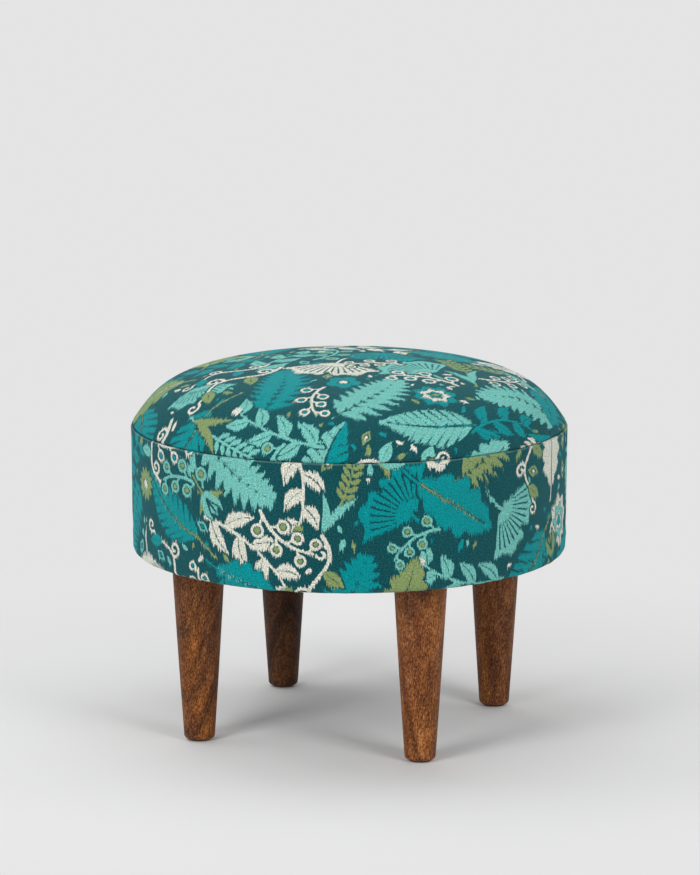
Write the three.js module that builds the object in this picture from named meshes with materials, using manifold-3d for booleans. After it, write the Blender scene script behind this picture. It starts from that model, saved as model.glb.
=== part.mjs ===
// A round upholstered tuffet: a padded drum with a domed seat, on four turned wooden legs.
// Millimetres, +Z up. The drum's axis is z, the floor is z = 0 and the legs stand on the diagonals.

import * as THREE from 'three';
import { mergeVertices } from 'three/addons/utils/BufferGeometryUtils.js';
import Module from 'manifold-3d';

const wasm = await Module();
wasm.setup();

// Clearance between pieces that touch
const fit = 0.3;

// Drum, over its cover
const seatRadius = 216;
const bandHeight = 125.8;         // from the underside of the hem up to the seam
const bandTaper = 1.1;            // how much smaller the band's radius is at its foot
const bandCorner = 6;             // rounded bottom edge
const hemWidth = 21;              // fabric turned in under the base board
const seamAllowance = 10;         // fabric that hangs inside the band below the seam

// Crown of the seat
const crownRise = 64.4;           // from the crown's edge up to its middle
const crownEdgeLift = 2.3;        // the crown's edge above the top of the band
const crownDome = 0.461;          // share of the rise that follows a plain dome
const crownShoulder = 9.7;        // power of the rest: a higher one squares the shoulder

// Cover and padding
const coverThickness = 1.4;
const waddingThickness = 4;
const sideFoamThickness = 8;      // at the seam, less at the foot by the band's taper
const dustThickness = 0.8;

// Frame
const baseThickness = 18;
const deckThickness = 12;
const deckDepth = 23.5;           // from the seam down to the top of the deck
const wallThickness = 4;
const battenCount = 6;
const battenWidth = 40;
const battenDepth = 25;

// Legs
const legCount = 4;
const legLength = 178;
const legTopRadius = 26;
const legFootRadius = 15.2;
const legSwell = 0.3;             // how far the middle of the taper stands out
const legFootRound = 3.4;
const legTopRound = 0.6;
const legHemGap = 6.1;            // between the top of a leg and the inner edge of the hem

// Glides under the feet
const glideRadius = 10.6;
const glideThickness = 1.5;
const glideBevel = 0.5;
const glidePinRadius = 1.2;
const glidePinLength = 12;
const glidePinTip = 2;

// Hanger bolts
const boltRadius = 4;
const boltNeckRadius = 3.4;
const boltNeckLength = 4;
const boltWoodLength = 36;        // the end in the leg, with the neck
const boltMachineLength = 24;     // the end in the T-nut
const boltTip = 5;
const boltTipRadius = 1;
const boltChamfer = 0.8;

// T-nuts
const nutWall = 1.2;
const nutBarrelShort = 7;         // wood left under the barrel
const nutFlangeRadius = 11;
const nutFlangeThickness = 1.5;
const prongCount = 4;
const prongWidth = 4.4;
const prongTipWidth = 1.4;
const prongLength = 7;
const prongThickness = 1.2;
const prongEdge = 0.8;            // flange left outside a prong

// Countersunk screws
const screwRadius = 2;
const screwHeadRadius = 4.2;
const screwHeadHeight = 2.6;
const screwBite = 22;             // length in the batten
const screwTip = 4;

// Steps round and along the turned faces
const drumSteps = 60;
const crownSteps = 8;
const legSteps = 24;
const legProfileSteps = 5;
const smallSteps = 12;
const screwSteps = 8;
const arcSteps = 3;

// Heights, from the floor up
const legFootZ = glideThickness + fit;
const legTopZ = legFootZ + legLength;
const baseBottomZ = legTopZ + dustThickness + 2 * fit;
const baseTopZ = baseBottomZ + baseThickness;
const hemTopZ = baseBottomZ - fit;
const hemBottomZ = hemTopZ - coverThickness;
const seamZ = hemBottomZ + bandHeight;
const allowanceZ = seamZ - seamAllowance;
const deckTopZ = seamZ - deckDepth;
const deckBottomZ = deckTopZ - deckThickness;
const crownEdgeZ = seamZ + crownEdgeLift;

// Radii, from the cover inwards
const bandFootRadius = seatRadius - bandTaper;
const foldRadius = coverThickness + fit / 2;
const crownEdgeRadius = seatRadius - 2 * foldRadius - fit;
const wallOuterRadius = seatRadius - coverThickness - sideFoamThickness - 2 * fit;
const wallInnerRadius = wallOuterRadius - wallThickness;
const boardRadius = wallInnerRadius - fit;
const hemInnerRadius = seatRadius - hemWidth;
const legCircleRadius = hemInnerRadius - legHemGap - legTopRadius;
const nutBoreRadius = boltRadius + fit;
const nutBarrelRadius = nutBoreRadius + nutWall;
const nutBarrelLength = baseThickness - nutBarrelShort;

// Depths under the face of the crown
const waddingDepth = coverThickness + fit;
const foamDepth = waddingDepth + waddingThickness + fit;

// The outer corners of a batten are level with the boards' edge
const boardFlatRadius = boardRadius * Math.cos(Math.PI / drumSteps);
const battenX = Math.sqrt(boardFlatRadius ** 2 - (battenWidth / 2) ** 2) - battenDepth / 2;
const battenLength = deckBottomZ - baseTopZ - 2 * fit;

// The two screws of a batten pass side by side
const screwOffset = battenWidth / 4;
const baseScrewLength = baseThickness + screwBite;
const deckScrewLength = deckThickness + screwBite;

const legAngles = anglesOf(legCount, Math.PI / legCount);
const battenAngles = anglesOf(battenCount);
const prongAngles = anglesOf(prongCount);

const fabric = new THREE.MeshStandardMaterial({ color: '#2b6f72', roughness: 0.9, metalness: 0 });
const darkWood = new THREE.MeshStandardMaterial({ color: '#4a2f22', roughness: 0.45, metalness: 0 });
const plywood = new THREE.MeshStandardMaterial({ color: '#c7a878', roughness: 0.75, metalness: 0 });
const foam = new THREE.MeshStandardMaterial({ color: '#e8dfb8', roughness: 0.95, metalness: 0 });
const wadding = new THREE.MeshStandardMaterial({ color: '#f2f1ec', roughness: 1, metalness: 0 });
const dustCloth = new THREE.MeshStandardMaterial({ color: '#26262a', roughness: 0.95, metalness: 0 });
const zincSteel = new THREE.MeshStandardMaterial({ color: '#b4b6b8', roughness: 0.35, metalness: 1 });
const glideNylon = new THREE.MeshStandardMaterial({ color: '#3a3430', roughness: 0.6, metalness: 0 });

function point(radius, height) {
  return new THREE.Vector2(radius, height);
}

function anglesOf(count, start = 0) {
  return Array.from({ length: count }, (_, i) => start + (2 * Math.PI * i) / count);
}

// Points on an arc of a profile, its angles measured from straight out
function arc(centreRadius, centreHeight, radius, from, to, steps = arcSteps) {
  const points = [];
  for (let i = 0; i <= steps; i += 1) {
    const angle = from + ((to - from) * i) / steps;
    points.push(point(centreRadius + radius * Math.cos(angle), centreHeight + radius * Math.sin(angle)));
  }
  return points;
}

// Position-only geometry with shared vertices and no empty triangles
function weld(geometry) {
  const bare = geometry.clone();
  bare.deleteAttribute('normal');
  bare.deleteAttribute('uv');
  const welded = mergeVertices(bare, 1e-4);
  const corners = [];
  for (let i = 0; i < welded.index.count; i += 3) {
    const [a, b, c] = [0, 1, 2].map((k) => welded.index.getX(i + k));
    if (a !== b && b !== c && c !== a) corners.push(a, b, c);
  }
  welded.setIndex(corners);
  return welded;
}

// A profile of radius and height turned round z. It starts and ends on the axis, or closes on itself.
function turn(profile, steps) {
  const points = THREE.ShapeUtils.area(profile) < 0 ? [...profile].reverse() : [...profile];
  if (points[0].x > 0) points.push(points[0].clone());
  return weld(new THREE.LatheGeometry(points, steps).rotateX(Math.PI / 2));
}

function toSolid(geometry) {
  const welded = weld(geometry);
  const vertProperties = new Float32Array(welded.attributes.position.array);
  const triVerts = new Uint32Array(welded.index.array);
  return new wasm.Manifold(new wasm.Mesh({ numProp: 3, vertProperties, triVerts }));
}

function toGeometry(solid) {
  const mesh = solid.getMesh();
  const geometry = new THREE.BufferGeometry();
  geometry.setAttribute('position', new THREE.BufferAttribute(mesh.vertProperties, mesh.numProp));
  geometry.setIndex(new THREE.BufferAttribute(mesh.triVerts, 1));
  return geometry;
}

function join(geometries) {
  const solids = geometries.map(toSolid);
  return toGeometry(solids.reduce((whole, solid) => whole.add(solid)));
}

function cut(geometry, tools) {
  const solids = tools.map(toSolid);
  return toGeometry(solids.reduce((whole, solid) => whole.subtract(solid), toSolid(geometry)));
}

// A copy of a geometry moved out from the axis, turned with its place and lifted
function atAngle(geometry, radius, side, height, angle) {
  return geometry.clone().translate(radius, side, height).rotateZ(angle);
}

// The band's face from the flat of the hem, round the bottom edge and up to the fold, moved inwards
function bandFace(inset) {
  const cornerRadius = bandFootRadius - bandCorner;
  const bottomEdge = arc(cornerRadius, hemBottomZ + bandCorner, bandCorner - inset, -Math.PI / 2, 0);
  return [...bottomEdge, point(bandRadiusAt(seamZ - foldRadius) - inset, seamZ - foldRadius)];
}

function bandRadiusAt(height) {
  const footZ = hemBottomZ + bandCorner;
  return bandFootRadius + (bandTaper * (height - footZ)) / (seamZ - foldRadius - footZ);
}

// The sewn side band: hem, rounded bottom edge, side, rolled top edge and seam allowance
function coverBand() {
  const foldX = seatRadius - foldRadius;
  const foldZ = seamZ - foldRadius;
  const profile = [
    point(hemInnerRadius, hemBottomZ),
    ...bandFace(0).slice(0, -1),
    ...arc(foldX, foldZ, foldRadius, 0, Math.PI),
    point(foldX - foldRadius, allowanceZ),
    point(foldX - fit / 2, allowanceZ),
    point(foldX - fit / 2, foldZ),
    point(foldX, foldZ + fit / 2),
    ...bandFace(coverThickness).reverse(),
    point(hemInnerRadius, hemTopZ),
  ];
  return turn(profile, drumSteps);
}

function crownHeight(radius) {
  const share = radius / crownEdgeRadius;
  const drop = crownDome * share ** 2 + (1 - crownDome) * share ** crownShoulder;
  return crownEdgeZ + crownRise * (1 - drop);
}

// A face of the domed seat from the axis to the edge and down to a height, moved inwards by a depth
function crownFace(depth, bottomZ) {
  const face = [];
  for (let i = 0; i <= crownSteps; i += 1) {
    const radius = crownEdgeRadius * Math.sin((Math.PI / 2) * (i / crownSteps));
    face.push(point(radius, crownHeight(radius)));
  }
  face.push(point(crownEdgeRadius, bottomZ));
  return face.map((here, i) => {
    if (i === 0) return point(0, here.y - depth);
    const before = here.clone().sub(face[i - 1]).normalize();
    const after = i + 1 < face.length ? face[i + 1].clone().sub(here).normalize() : before;
    const inwards = before.clone().add(after).normalize().rotateAround(point(0, 0), -Math.PI / 2);
    const stretch = 1 / Math.cos(before.angleTo(after) / 2);
    return here.clone().addScaledVector(inwards, depth * stretch);
  });
}

function crownLayer(outerDepth, innerDepth) {
  const outerFace = crownFace(outerDepth, allowanceZ);
  const innerFace = crownFace(innerDepth, allowanceZ);
  return turn([...outerFace, ...innerFace.reverse()], drumSteps);
}

// The foam pad fills the band below the seam allowance and the wadding above it
function topFoam() {
  const ledgeZ = allowanceZ - fit;
  const bottomZ = deckTopZ + fit;
  const inset = coverThickness + fit;
  const profile = [
    point(0, bottomZ),
    point(bandRadiusAt(bottomZ) - inset, bottomZ),
    point(bandRadiusAt(ledgeZ) - inset, ledgeZ),
    ...crownFace(foamDepth, ledgeZ).reverse(),
  ];
  return turn(profile, drumSteps);
}

// Foam wrapped round the wall, its outer face just inside the band
function sideFoam() {
  const inset = coverThickness + fit;
  const innerRadius = wallOuterRadius + fit;
  const profile = [
    point(innerRadius, baseBottomZ),
    ...bandFace(inset).slice(0, -1),
    point(bandRadiusAt(deckTopZ) - inset, deckTopZ),
    point(innerRadius, deckTopZ),
  ];
  return turn(profile, drumSteps);
}

function drumWall() {
  const profile = [
    point(wallInnerRadius, baseBottomZ),
    point(wallOuterRadius, baseBottomZ),
    point(wallOuterRadius, deckTopZ),
    point(wallInnerRadius, deckTopZ),
  ];
  return turn(profile, drumSteps);
}

function disc(radius, bottomZ, topZ, steps) {
  return turn([point(0, bottomZ), point(radius, bottomZ), point(radius, topZ), point(0, topZ)], steps);
}

// A screw pointing up, its head's face at height 0. A grown one is the hole that the screw sits in.
function screw(length, grow = 0) {
  const radius = screwRadius + grow;
  const profile = [
    point(0, 0),
    point(screwHeadRadius + grow, 0),
    point(radius, screwHeadHeight + grow),
    point(radius, length - screwTip + grow),
    point(0, length + grow),
  ];
  return turn(profile, screwSteps);
}

function baseScrewHole(angle) {
  return atAngle(screw(baseScrewLength, fit), battenX, -screwOffset, baseBottomZ, angle);
}

function deckScrewHole(angle) {
  return atAngle(screw(deckScrewLength, fit).rotateX(Math.PI), battenX, screwOffset, deckTopZ, angle);
}

function batten() {
  const block = new THREE.BoxGeometry(battenDepth, battenWidth, battenLength);
  block.translate(battenX, 0, (baseTopZ + deckBottomZ) / 2);
  return cut(block, [baseScrewHole(0), deckScrewHole(0)]);
}

function deckBoard() {
  return cut(disc(boardRadius, deckBottomZ, deckTopZ, drumSteps), battenAngles.map(deckScrewHole));
}

// One prong of a T-nut, pressed down from the rim of the flange. A grown one is its slot in the board.
function nutProng(angle, grow) {
  const outline = new THREE.Shape([
    point(-prongTipWidth / 2 - grow, -prongLength - grow),
    point(prongTipWidth / 2 + grow, -prongLength - grow),
    point(prongWidth / 2 + grow, nutFlangeThickness / 2),
    point(-prongWidth / 2 - grow, nutFlangeThickness / 2),
  ]);
  const depth = prongThickness + 2 * grow;
  const prong = new THREE.ExtrudeGeometry(outline, { depth, steps: 1, bevelEnabled: false });
  prong.rotateX(Math.PI / 2).rotateZ(Math.PI / 2);
  return prong.translate(nutFlangeRadius - prongEdge - prongThickness - grow, 0, 0).rotateZ(angle);
}

// A T-nut with the underside of its flange at height 0 and its barrel pointing down
function tNut() {
  const profile = [
    point(nutBoreRadius, -nutBarrelLength),
    point(nutBarrelRadius, -nutBarrelLength),
    point(nutBarrelRadius, 0),
    point(nutFlangeRadius, 0),
    point(nutFlangeRadius, nutFlangeThickness),
    point(nutBoreRadius, nutFlangeThickness),
  ];
  return join([turn(profile, smallSteps), ...prongAngles.map((angle) => nutProng(angle, 0))]);
}

// What a T-nut takes out of the base board: a hole right through and a slot for each prong
function nutSeat(legAngle) {
  const hole = disc(nutBarrelRadius + fit, -baseThickness - 2 * fit, fit, smallSteps);
  const parts = [hole, ...prongAngles.map((angle) => nutProng(angle, fit))];
  return parts.map((part) => atAngle(part, legCircleRadius, 0, baseTopZ + fit, legAngle));
}

function baseBoard() {
  const holes = [...battenAngles.map(baseScrewHole), ...legAngles.flatMap(nutSeat)];
  return cut(disc(boardRadius, baseBottomZ, baseTopZ, drumSteps), holes);
}

// Thin cloth under the base: flat over the board inside the hem, and stepped down under the hem
function dustCover() {
  const innerTopZ = baseBottomZ - fit;
  const outerTopZ = hemBottomZ - fit;
  const stepInner = hemInnerRadius - legHemGap + fit;
  const stepOuter = hemInnerRadius - fit;
  const dustRadius = hemInnerRadius + hemWidth / 2;
  const topFace = [
    point(0, innerTopZ),
    point(stepInner + dustThickness, innerTopZ),
    point(stepOuter, outerTopZ),
    point(dustRadius, outerTopZ),
  ];
  const underside = [
    point(dustRadius, outerTopZ - dustThickness),
    point(stepOuter - dustThickness, outerTopZ - dustThickness),
    point(stepInner, innerTopZ - dustThickness),
    point(0, innerTopZ - dustThickness),
  ];
  const hole = disc(boltRadius + fit, hemBottomZ, baseBottomZ, smallSteps);
  const holes = legAngles.map((angle) => atAngle(hole, legCircleRadius, 0, 0, angle));
  return cut(turn([...topFace, ...underside], drumSteps), holes);
}

// A turned leg, its foot at height 0, with the pin's hole in its foot and the bolt's hole in its top
function leg() {
  const side = [];
  for (let i = 0; i <= legProfileSteps; i += 1) {
    const share = i / legProfileSteps;
    const taper = THREE.MathUtils.lerp(legFootRadius, legTopRadius, share);
    const height = THREE.MathUtils.lerp(legFootRound, legLength - legTopRound, share);
    side.push(point(taper + legSwell * Math.sin(Math.PI * share), height));
  }
  const pinHoleRadius = glidePinRadius + fit;
  const boltHoleRadius = boltRadius + fit;
  const boltHoleBottom = legLength - boltWoodLength - fit;
  const profile = [
    point(0, glidePinLength),
    point(pinHoleRadius, glidePinLength),
    point(pinHoleRadius, 0),
    ...arc(legFootRadius - legFootRound, legFootRound, legFootRound, -Math.PI / 2, 0).slice(0, -1),
    ...side,
    point(legTopRadius - legTopRound, legLength),
    point(boltHoleRadius, legLength),
    point(boltHoleRadius, boltHoleBottom),
    point(0, boltHoleBottom),
  ];
  return turn(profile, legSteps);
}

// A glide with its pin pointing up, its worn face at height 0
function footGlide() {
  const pinTopZ = glideThickness + glidePinLength;
  const profile = [
    point(0, 0),
    point(glideRadius - glideBevel, 0),
    point(glideRadius, glideBevel),
    point(glideRadius, glideThickness),
    point(glidePinRadius, glideThickness),
    point(glidePinRadius, pinTopZ - glidePinTip),
    point(0, pinTopZ),
  ];
  return turn(profile, smallSteps);
}

// A hanger bolt with its pointed wood end down, the tip at height 0
function hangerBolt() {
  const boltLength = boltWoodLength + boltMachineLength;
  const profile = [
    point(0, 0),
    point(boltTipRadius, 0),
    point(boltRadius, boltTip),
    point(boltRadius, boltWoodLength - boltNeckLength),
    point(boltNeckRadius, boltWoodLength - boltNeckLength),
    point(boltNeckRadius, boltWoodLength),
    point(boltRadius, boltWoodLength),
    point(boltRadius, boltLength - boltChamfer),
    point(boltRadius - boltChamfer, boltLength),
    point(0, boltLength),
  ];
  return turn(profile, smallSteps);
}

function piece(name, geometry, material, height = 0) {
  const mesh = new THREE.Mesh(geometry, material.clone());
  mesh.name = name;
  mesh.position.z = height;
  return mesh;
}

function legAssembly(angle, index) {
  const group = new THREE.Group();
  group.add(piece(`foot_glide_${index + 1}`, footGlide(), glideNylon));
  group.add(piece(`leg_${index + 1}`, leg(), darkWood, legFootZ));
  group.add(piece(`hanger_bolt_${index + 1}`, hangerBolt(), zincSteel, legTopZ - boltWoodLength));
  group.add(piece(`t_nut_${index + 1}`, tNut(), zincSteel, baseTopZ + fit));
  group.position.set(legCircleRadius * Math.cos(angle), legCircleRadius * Math.sin(angle), 0);
  group.rotation.z = angle;
  return group;
}

function battenAssembly(angle, index) {
  const baseScrew = piece(`base_screw_${index + 1}`, screw(baseScrewLength), zincSteel);
  baseScrew.position.set(battenX, -screwOffset, baseBottomZ);
  const deckScrew = piece(`deck_screw_${index + 1}`, screw(deckScrewLength), zincSteel);
  deckScrew.rotation.x = Math.PI;
  deckScrew.position.set(battenX, screwOffset, deckTopZ);
  const group = new THREE.Group();
  group.add(piece(`batten_${index + 1}`, batten(), plywood), baseScrew, deckScrew);
  group.rotation.z = angle;
  return group;
}

function frame() {
  const group = new THREE.Group();
  group.add(piece('base_board', baseBoard(), plywood));
  group.add(piece('deck_board', deckBoard(), plywood));
  group.add(piece('drum_wall', drumWall(), plywood));
  group.add(...battenAngles.map(battenAssembly));
  return group;
}

function upholstery() {
  const group = new THREE.Group();
  group.add(piece('side_foam', sideFoam(), foam));
  group.add(piece('top_foam', topFoam(), foam));
  group.add(piece('top_wadding', crownLayer(waddingDepth, waddingDepth + waddingThickness), wadding));
  group.add(piece('cover_top', crownLayer(0, coverThickness), fabric));
  group.add(piece('cover_band', coverBand(), fabric));
  group.add(piece('dust_cover', dustCover(), dustCloth));
  return group;
}

const tuffet = new THREE.Group();
tuffet.name = 'tuffet';
tuffet.add(frame(), upholstery(), ...legAngles.map(legAssembly));

export default tuffet;
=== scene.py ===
import math
import bpy
import numpy as np
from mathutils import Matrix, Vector


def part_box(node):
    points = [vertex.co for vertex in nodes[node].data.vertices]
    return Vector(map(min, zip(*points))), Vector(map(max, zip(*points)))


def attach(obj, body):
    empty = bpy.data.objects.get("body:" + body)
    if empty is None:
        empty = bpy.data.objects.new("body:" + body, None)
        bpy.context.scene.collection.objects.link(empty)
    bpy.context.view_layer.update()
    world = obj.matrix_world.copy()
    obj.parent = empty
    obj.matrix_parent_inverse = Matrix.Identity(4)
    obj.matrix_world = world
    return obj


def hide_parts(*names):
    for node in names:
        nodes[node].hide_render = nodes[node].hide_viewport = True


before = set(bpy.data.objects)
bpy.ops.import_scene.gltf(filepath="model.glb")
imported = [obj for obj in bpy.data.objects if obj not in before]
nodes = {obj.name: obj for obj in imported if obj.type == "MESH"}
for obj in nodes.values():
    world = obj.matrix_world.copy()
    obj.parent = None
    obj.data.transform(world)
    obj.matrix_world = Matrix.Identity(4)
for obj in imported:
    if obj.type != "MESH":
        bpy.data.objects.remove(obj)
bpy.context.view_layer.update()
topLow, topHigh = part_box("cover_top")
bandLow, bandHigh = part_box("cover_band")
print("frame loaded:", len(nodes), "nodes")


# Camera: a long lens, above the seat and to the right of its front, looking down a little. In metres.
camera = {
    "azimuth": 20.1,        # degrees from the front towards the right
    "distance": 3.99, "height": 1.0436, "side": 0.00075, "reach": 100.0,
    "down": 0.18668,        # how far it looks down, in radians
    "lens": 168.53, "sensor": 36.0,
}


def makeCamera():
    angle = math.radians(camera["azimuth"])
    right = Vector((math.cos(angle), math.sin(angle), 0))
    ahead = Vector((-math.sin(angle), math.cos(angle), 0))
    data = bpy.data.cameras.new("camera")
    data.lens = camera["lens"]
    data.sensor_width = camera["sensor"]
    data.clip_end = camera["reach"]
    eye = bpy.data.objects.new("camera", data)
    eye.location = right * camera["side"] - ahead * camera["distance"] + Vector((0, 0, camera["height"]))
    eye.rotation_euler = (math.pi / 2 - camera["down"], 0, angle)
    bpy.context.scene.collection.objects.link(eye)
    bpy.context.scene.camera = eye


makeCamera()
bpy.context.scene.view_settings.view_transform = "Standard"
print("camera set")


# Node helpers
def addNode(tree, kind, inputs=None, **settings):
    made = tree.nodes.new(kind)
    for name, value in settings.items():
        setattr(made, name, value)
    for socket, value in (inputs or {}).items():
        if isinstance(value, bpy.types.NodeSocket):
            tree.links.new(value, made.inputs[socket])
        else:
            made.inputs[socket].default_value = value
    return made


def calc(tree, operation, *values, clamp=False):
    made = addNode(tree, "ShaderNodeMath", dict(enumerate(values)), operation=operation, use_clamp=clamp)
    return made.outputs[0]


def plus(tree, first, second):
    return calc(tree, "ADD", first, second)


def minus(tree, first, second):
    return calc(tree, "SUBTRACT", first, second)


def times(tree, first, second):
    return calc(tree, "MULTIPLY", first, second)


def joinUp(tree, x=0.0, y=0.0, z=0.0):
    return addNode(tree, "ShaderNodeCombineXYZ", {0: x, 1: y, 2: z}).outputs[0]


def splitUp(tree, vector):
    return addNode(tree, "ShaderNodeSeparateXYZ", {0: vector}).outputs


def scaled(tree, vector, factors):
    return addNode(tree, "ShaderNodeVectorMath", {0: vector, 1: factors}, operation="MULTIPLY").outputs[0]


def noise(tree, vector, scale, detail=2.0, roughness=0.5, distortion=0.0):
    sockets = {"Vector": vector, "Scale": scale, "Detail": detail, "Roughness": roughness,
               "Distortion": distortion}
    return addNode(tree, "ShaderNodeTexNoise", sockets).outputs["Fac"]


def ramp(tree, value, low, high, start=0.0, end=1.0):
    sockets = {"Value": value, "From Min": low, "From Max": high, "To Min": start, "To Max": end}
    return addNode(tree, "ShaderNodeMapRange", sockets).outputs["Result"]


def mixColour(tree, factor, first, second, blend="MIX"):
    sockets = {0: factor, 6: first, 7: second}
    return addNode(tree, "ShaderNodeMix", sockets, data_type="RGBA", blend_type=blend).outputs[2]


def shaded(tree, colour, tone):
    grey = addNode(tree, "ShaderNodeCombineColor", {0: tone, 1: tone, 2: tone}).outputs[0]
    return mixColour(tree, 1.0, colour, grey, "MULTIPLY")


def objectPlace(tree):
    return addNode(tree, "ShaderNodeTexCoord").outputs["Object"]


# Reads one of the numbers that a mesh carries at its points
def painted(tree, name):
    return addNode(tree, "ShaderNodeAttribute", attribute_name=name).outputs["Fac"]


def shaderGroup(name, inputs, outputs):
    tree = bpy.data.node_groups.new(name, "ShaderNodeTree")
    for label, value in inputs.items():
        kind = "NodeSocketVector" if value is None else "NodeSocketFloat"
        socket = tree.interface.new_socket(label, in_out="INPUT", socket_type=kind)
        if value is not None:
            socket.default_value = value
    for label in outputs:
        tree.interface.new_socket(label, in_out="OUTPUT", socket_type="NodeSocketFloat")
    return tree, tree.nodes.new("NodeGroupInput").outputs, tree.nodes.new("NodeGroupOutput").inputs


def useGroup(tree, group, **inputs):
    return addNode(tree, "ShaderNodeGroup", inputs, node_tree=group).outputs


# Plain weave: threads pass over and under each other, one pitch apart
weaveShape = {"crossing": 0.15, "between": 0.55}        # how soft a crossing is, height left between threads


def makeWeave():
    tree, given, result = shaderGroup("weave", {"Place": None, "Pitch": 0.0006}, ["Height"])
    waves = [calc(tree, "SINE", times(tree, calc(tree, "DIVIDE", way, given["Pitch"]), math.pi))
             for way in splitUp(tree, given["Place"])[:2]]
    warp, weft = calc(tree, "ABSOLUTE", waves[0]), calc(tree, "ABSOLUTE", waves[1])
    over = ramp(tree, times(tree, *waves), -weaveShape["crossing"], weaveShape["crossing"])
    top = addNode(tree, "ShaderNodeMix", {0: over, 2: weft, 3: warp}, data_type="FLOAT").outputs[0]
    low = addNode(tree, "ShaderNodeMix", {0: over, 2: warp, 3: weft}, data_type="FLOAT").outputs[0]
    height = times(tree, top, ramp(tree, low, 0.0, 1.0, weaveShape["between"], 1.0))
    tree.links.new(height, result["Height"])
    return tree


# Soft patches and fine specks that lighten and darken a colour
def makeMottle():
    inputs = {"Place": None, "Coarse": 20.0, "Fine": 900.0, "Patches": 0.1, "Specks": 0.1}
    tree, given, result = shaderGroup("mottle", inputs, ["Tone"])
    patches = minus(tree, noise(tree, given["Place"], given["Coarse"], 3.0), 0.5)
    specks = minus(tree, noise(tree, given["Place"], given["Fine"], 2.0), 0.5)
    both = plus(tree, times(tree, patches, given["Patches"]), times(tree, specks, given["Specks"]))
    tree.links.new(plus(tree, both, 1.0), result["Tone"])
    return tree


# Grain that runs along z: broad figure, fine streaks and short open pores
grainShape = {
    "figure": (1.0, 1.0, 0.16), "streak": (1.0, 1.0, 0.03), "pore": (1.0, 1.0, 0.09),
    "poreEdge": (0.57, 0.66), "streakHeight": 0.35,
}


def makeGrain():
    inputs = {"Place": None, "Figure": 30.0, "Streaks": 400.0, "Pores": 1400.0, "Slant": 0.2}
    tree, given, result = shaderGroup("woodGrain", inputs, ["Figure", "Streak", "Pore", "Height"])
    split = splitUp(tree, given["Place"])
    leaned = joinUp(tree, plus(tree, split[0], times(tree, split[2], given["Slant"])), split[1], split[2])
    figure = noise(tree, scaled(tree, leaned, grainShape["figure"]), given["Figure"], 3.0, 0.55, 0.6)
    streak = noise(tree, scaled(tree, leaned, grainShape["streak"]), given["Streaks"], 3.0, 0.6)
    porous = noise(tree, scaled(tree, leaned, grainShape["pore"]), given["Pores"], 1.0, 0.5)
    pore = ramp(tree, porous, *grainShape["poreEdge"])
    height = minus(tree, times(tree, streak, grainShape["streakHeight"]), pore)
    for label, value in (("Figure", figure), ("Streak", streak), ("Pore", pore), ("Height", height)):
        tree.links.new(value, result[label])
    return tree


weave, mottle, woodGrain = makeWeave(), makeMottle(), makeGrain()


# Materials. Depths of bumps are in metres.
def newMaterial(name, **shader):
    material = bpy.data.materials.new(name)
    material.use_nodes = True
    tree = material.node_tree
    surface = tree.nodes["Principled BSDF"]
    for label, value in shader.items():
        surface.inputs[label.replace("_", " ")].default_value = value
    return material, tree, surface


def finishLook(tree, surface, colour, height, depth, roughness=None):
    tree.links.new(colour, surface.inputs["Base Color"])
    if roughness is not None:
        tree.links.new(roughness, surface.inputs["Roughness"])
    bump = addNode(tree, "ShaderNodeBump", {"Height": height, "Strength": 1.0, "Distance": depth})
    tree.links.new(bump.outputs[0], surface.inputs["Normal"])


# Cover cloth: a dark ground and four inks, feathered along the warp where the dyed threads slipped
# Painted shade in the seams and between the threads, and a painted highlight along the band's fold
inkNames = ("teal", "aqua", "olive", "cream")
canvas = {
    "ground": (0.0020, 0.074, 0.092, 1),
    "teal": (0.0002, 0.300, 0.335, 1),
    "aqua": (0.205, 0.590, 0.550, 1),
    "olive": (0.280, 0.360, 0.140, 1),
    "cream": (0.822, 0.786, 0.708, 1),
    "nub": (0.180, 0.360, 0.350, 1),
    # pale colour of the painted highlight along the band's fold
    "worn": (0.330, 0.560, 0.520, 1),
    "warm": (1.0, 0.955, 0.86, 1), "cool": (0.87, 0.99, 1.0, 1),
    "sheen": (0.35, 0.95, 1.0, 1),
    # noise cells to the metre, across and along the warp
    "bundles": (880.0, 26.0, 1.0), "strands": (2100.0, 70.0, 1.0), "threads": (1500.0, 70.0, 1.0),
    "nubs": (760.0, 1150.0, 1.0), "dye": (1300.0, 600.0, 1.0),
    "strandShare": 0.55,
    "slip": 7.5, "fray": 1.0, "softness": 0.40,         # mm
    # from and to of a noise, then the tones or shares that these turn into
    "nubShare": (0.55, 0.78, 0.0, 0.42), "threadTone": (0.25, 0.75, 0.86, 1.14),
    # the seam's tone is painted shade in the seams
    "weaveShade": (0.0, 1.0, 0.84, 1.16), "seamShadeTone": (0.0, 1.0, 1.0, 0.55), "dyed": (0.3, 0.7),
    "pitch": 0.00058, "speckShare": 0.8, "bumpDepth": 0.00025,
}


def clothNoise(tree, flat, cells, detail=1.0, roughness=0.5):
    return noise(tree, scaled(tree, flat, canvas[cells]), 1.0, detail, roughness)


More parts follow.
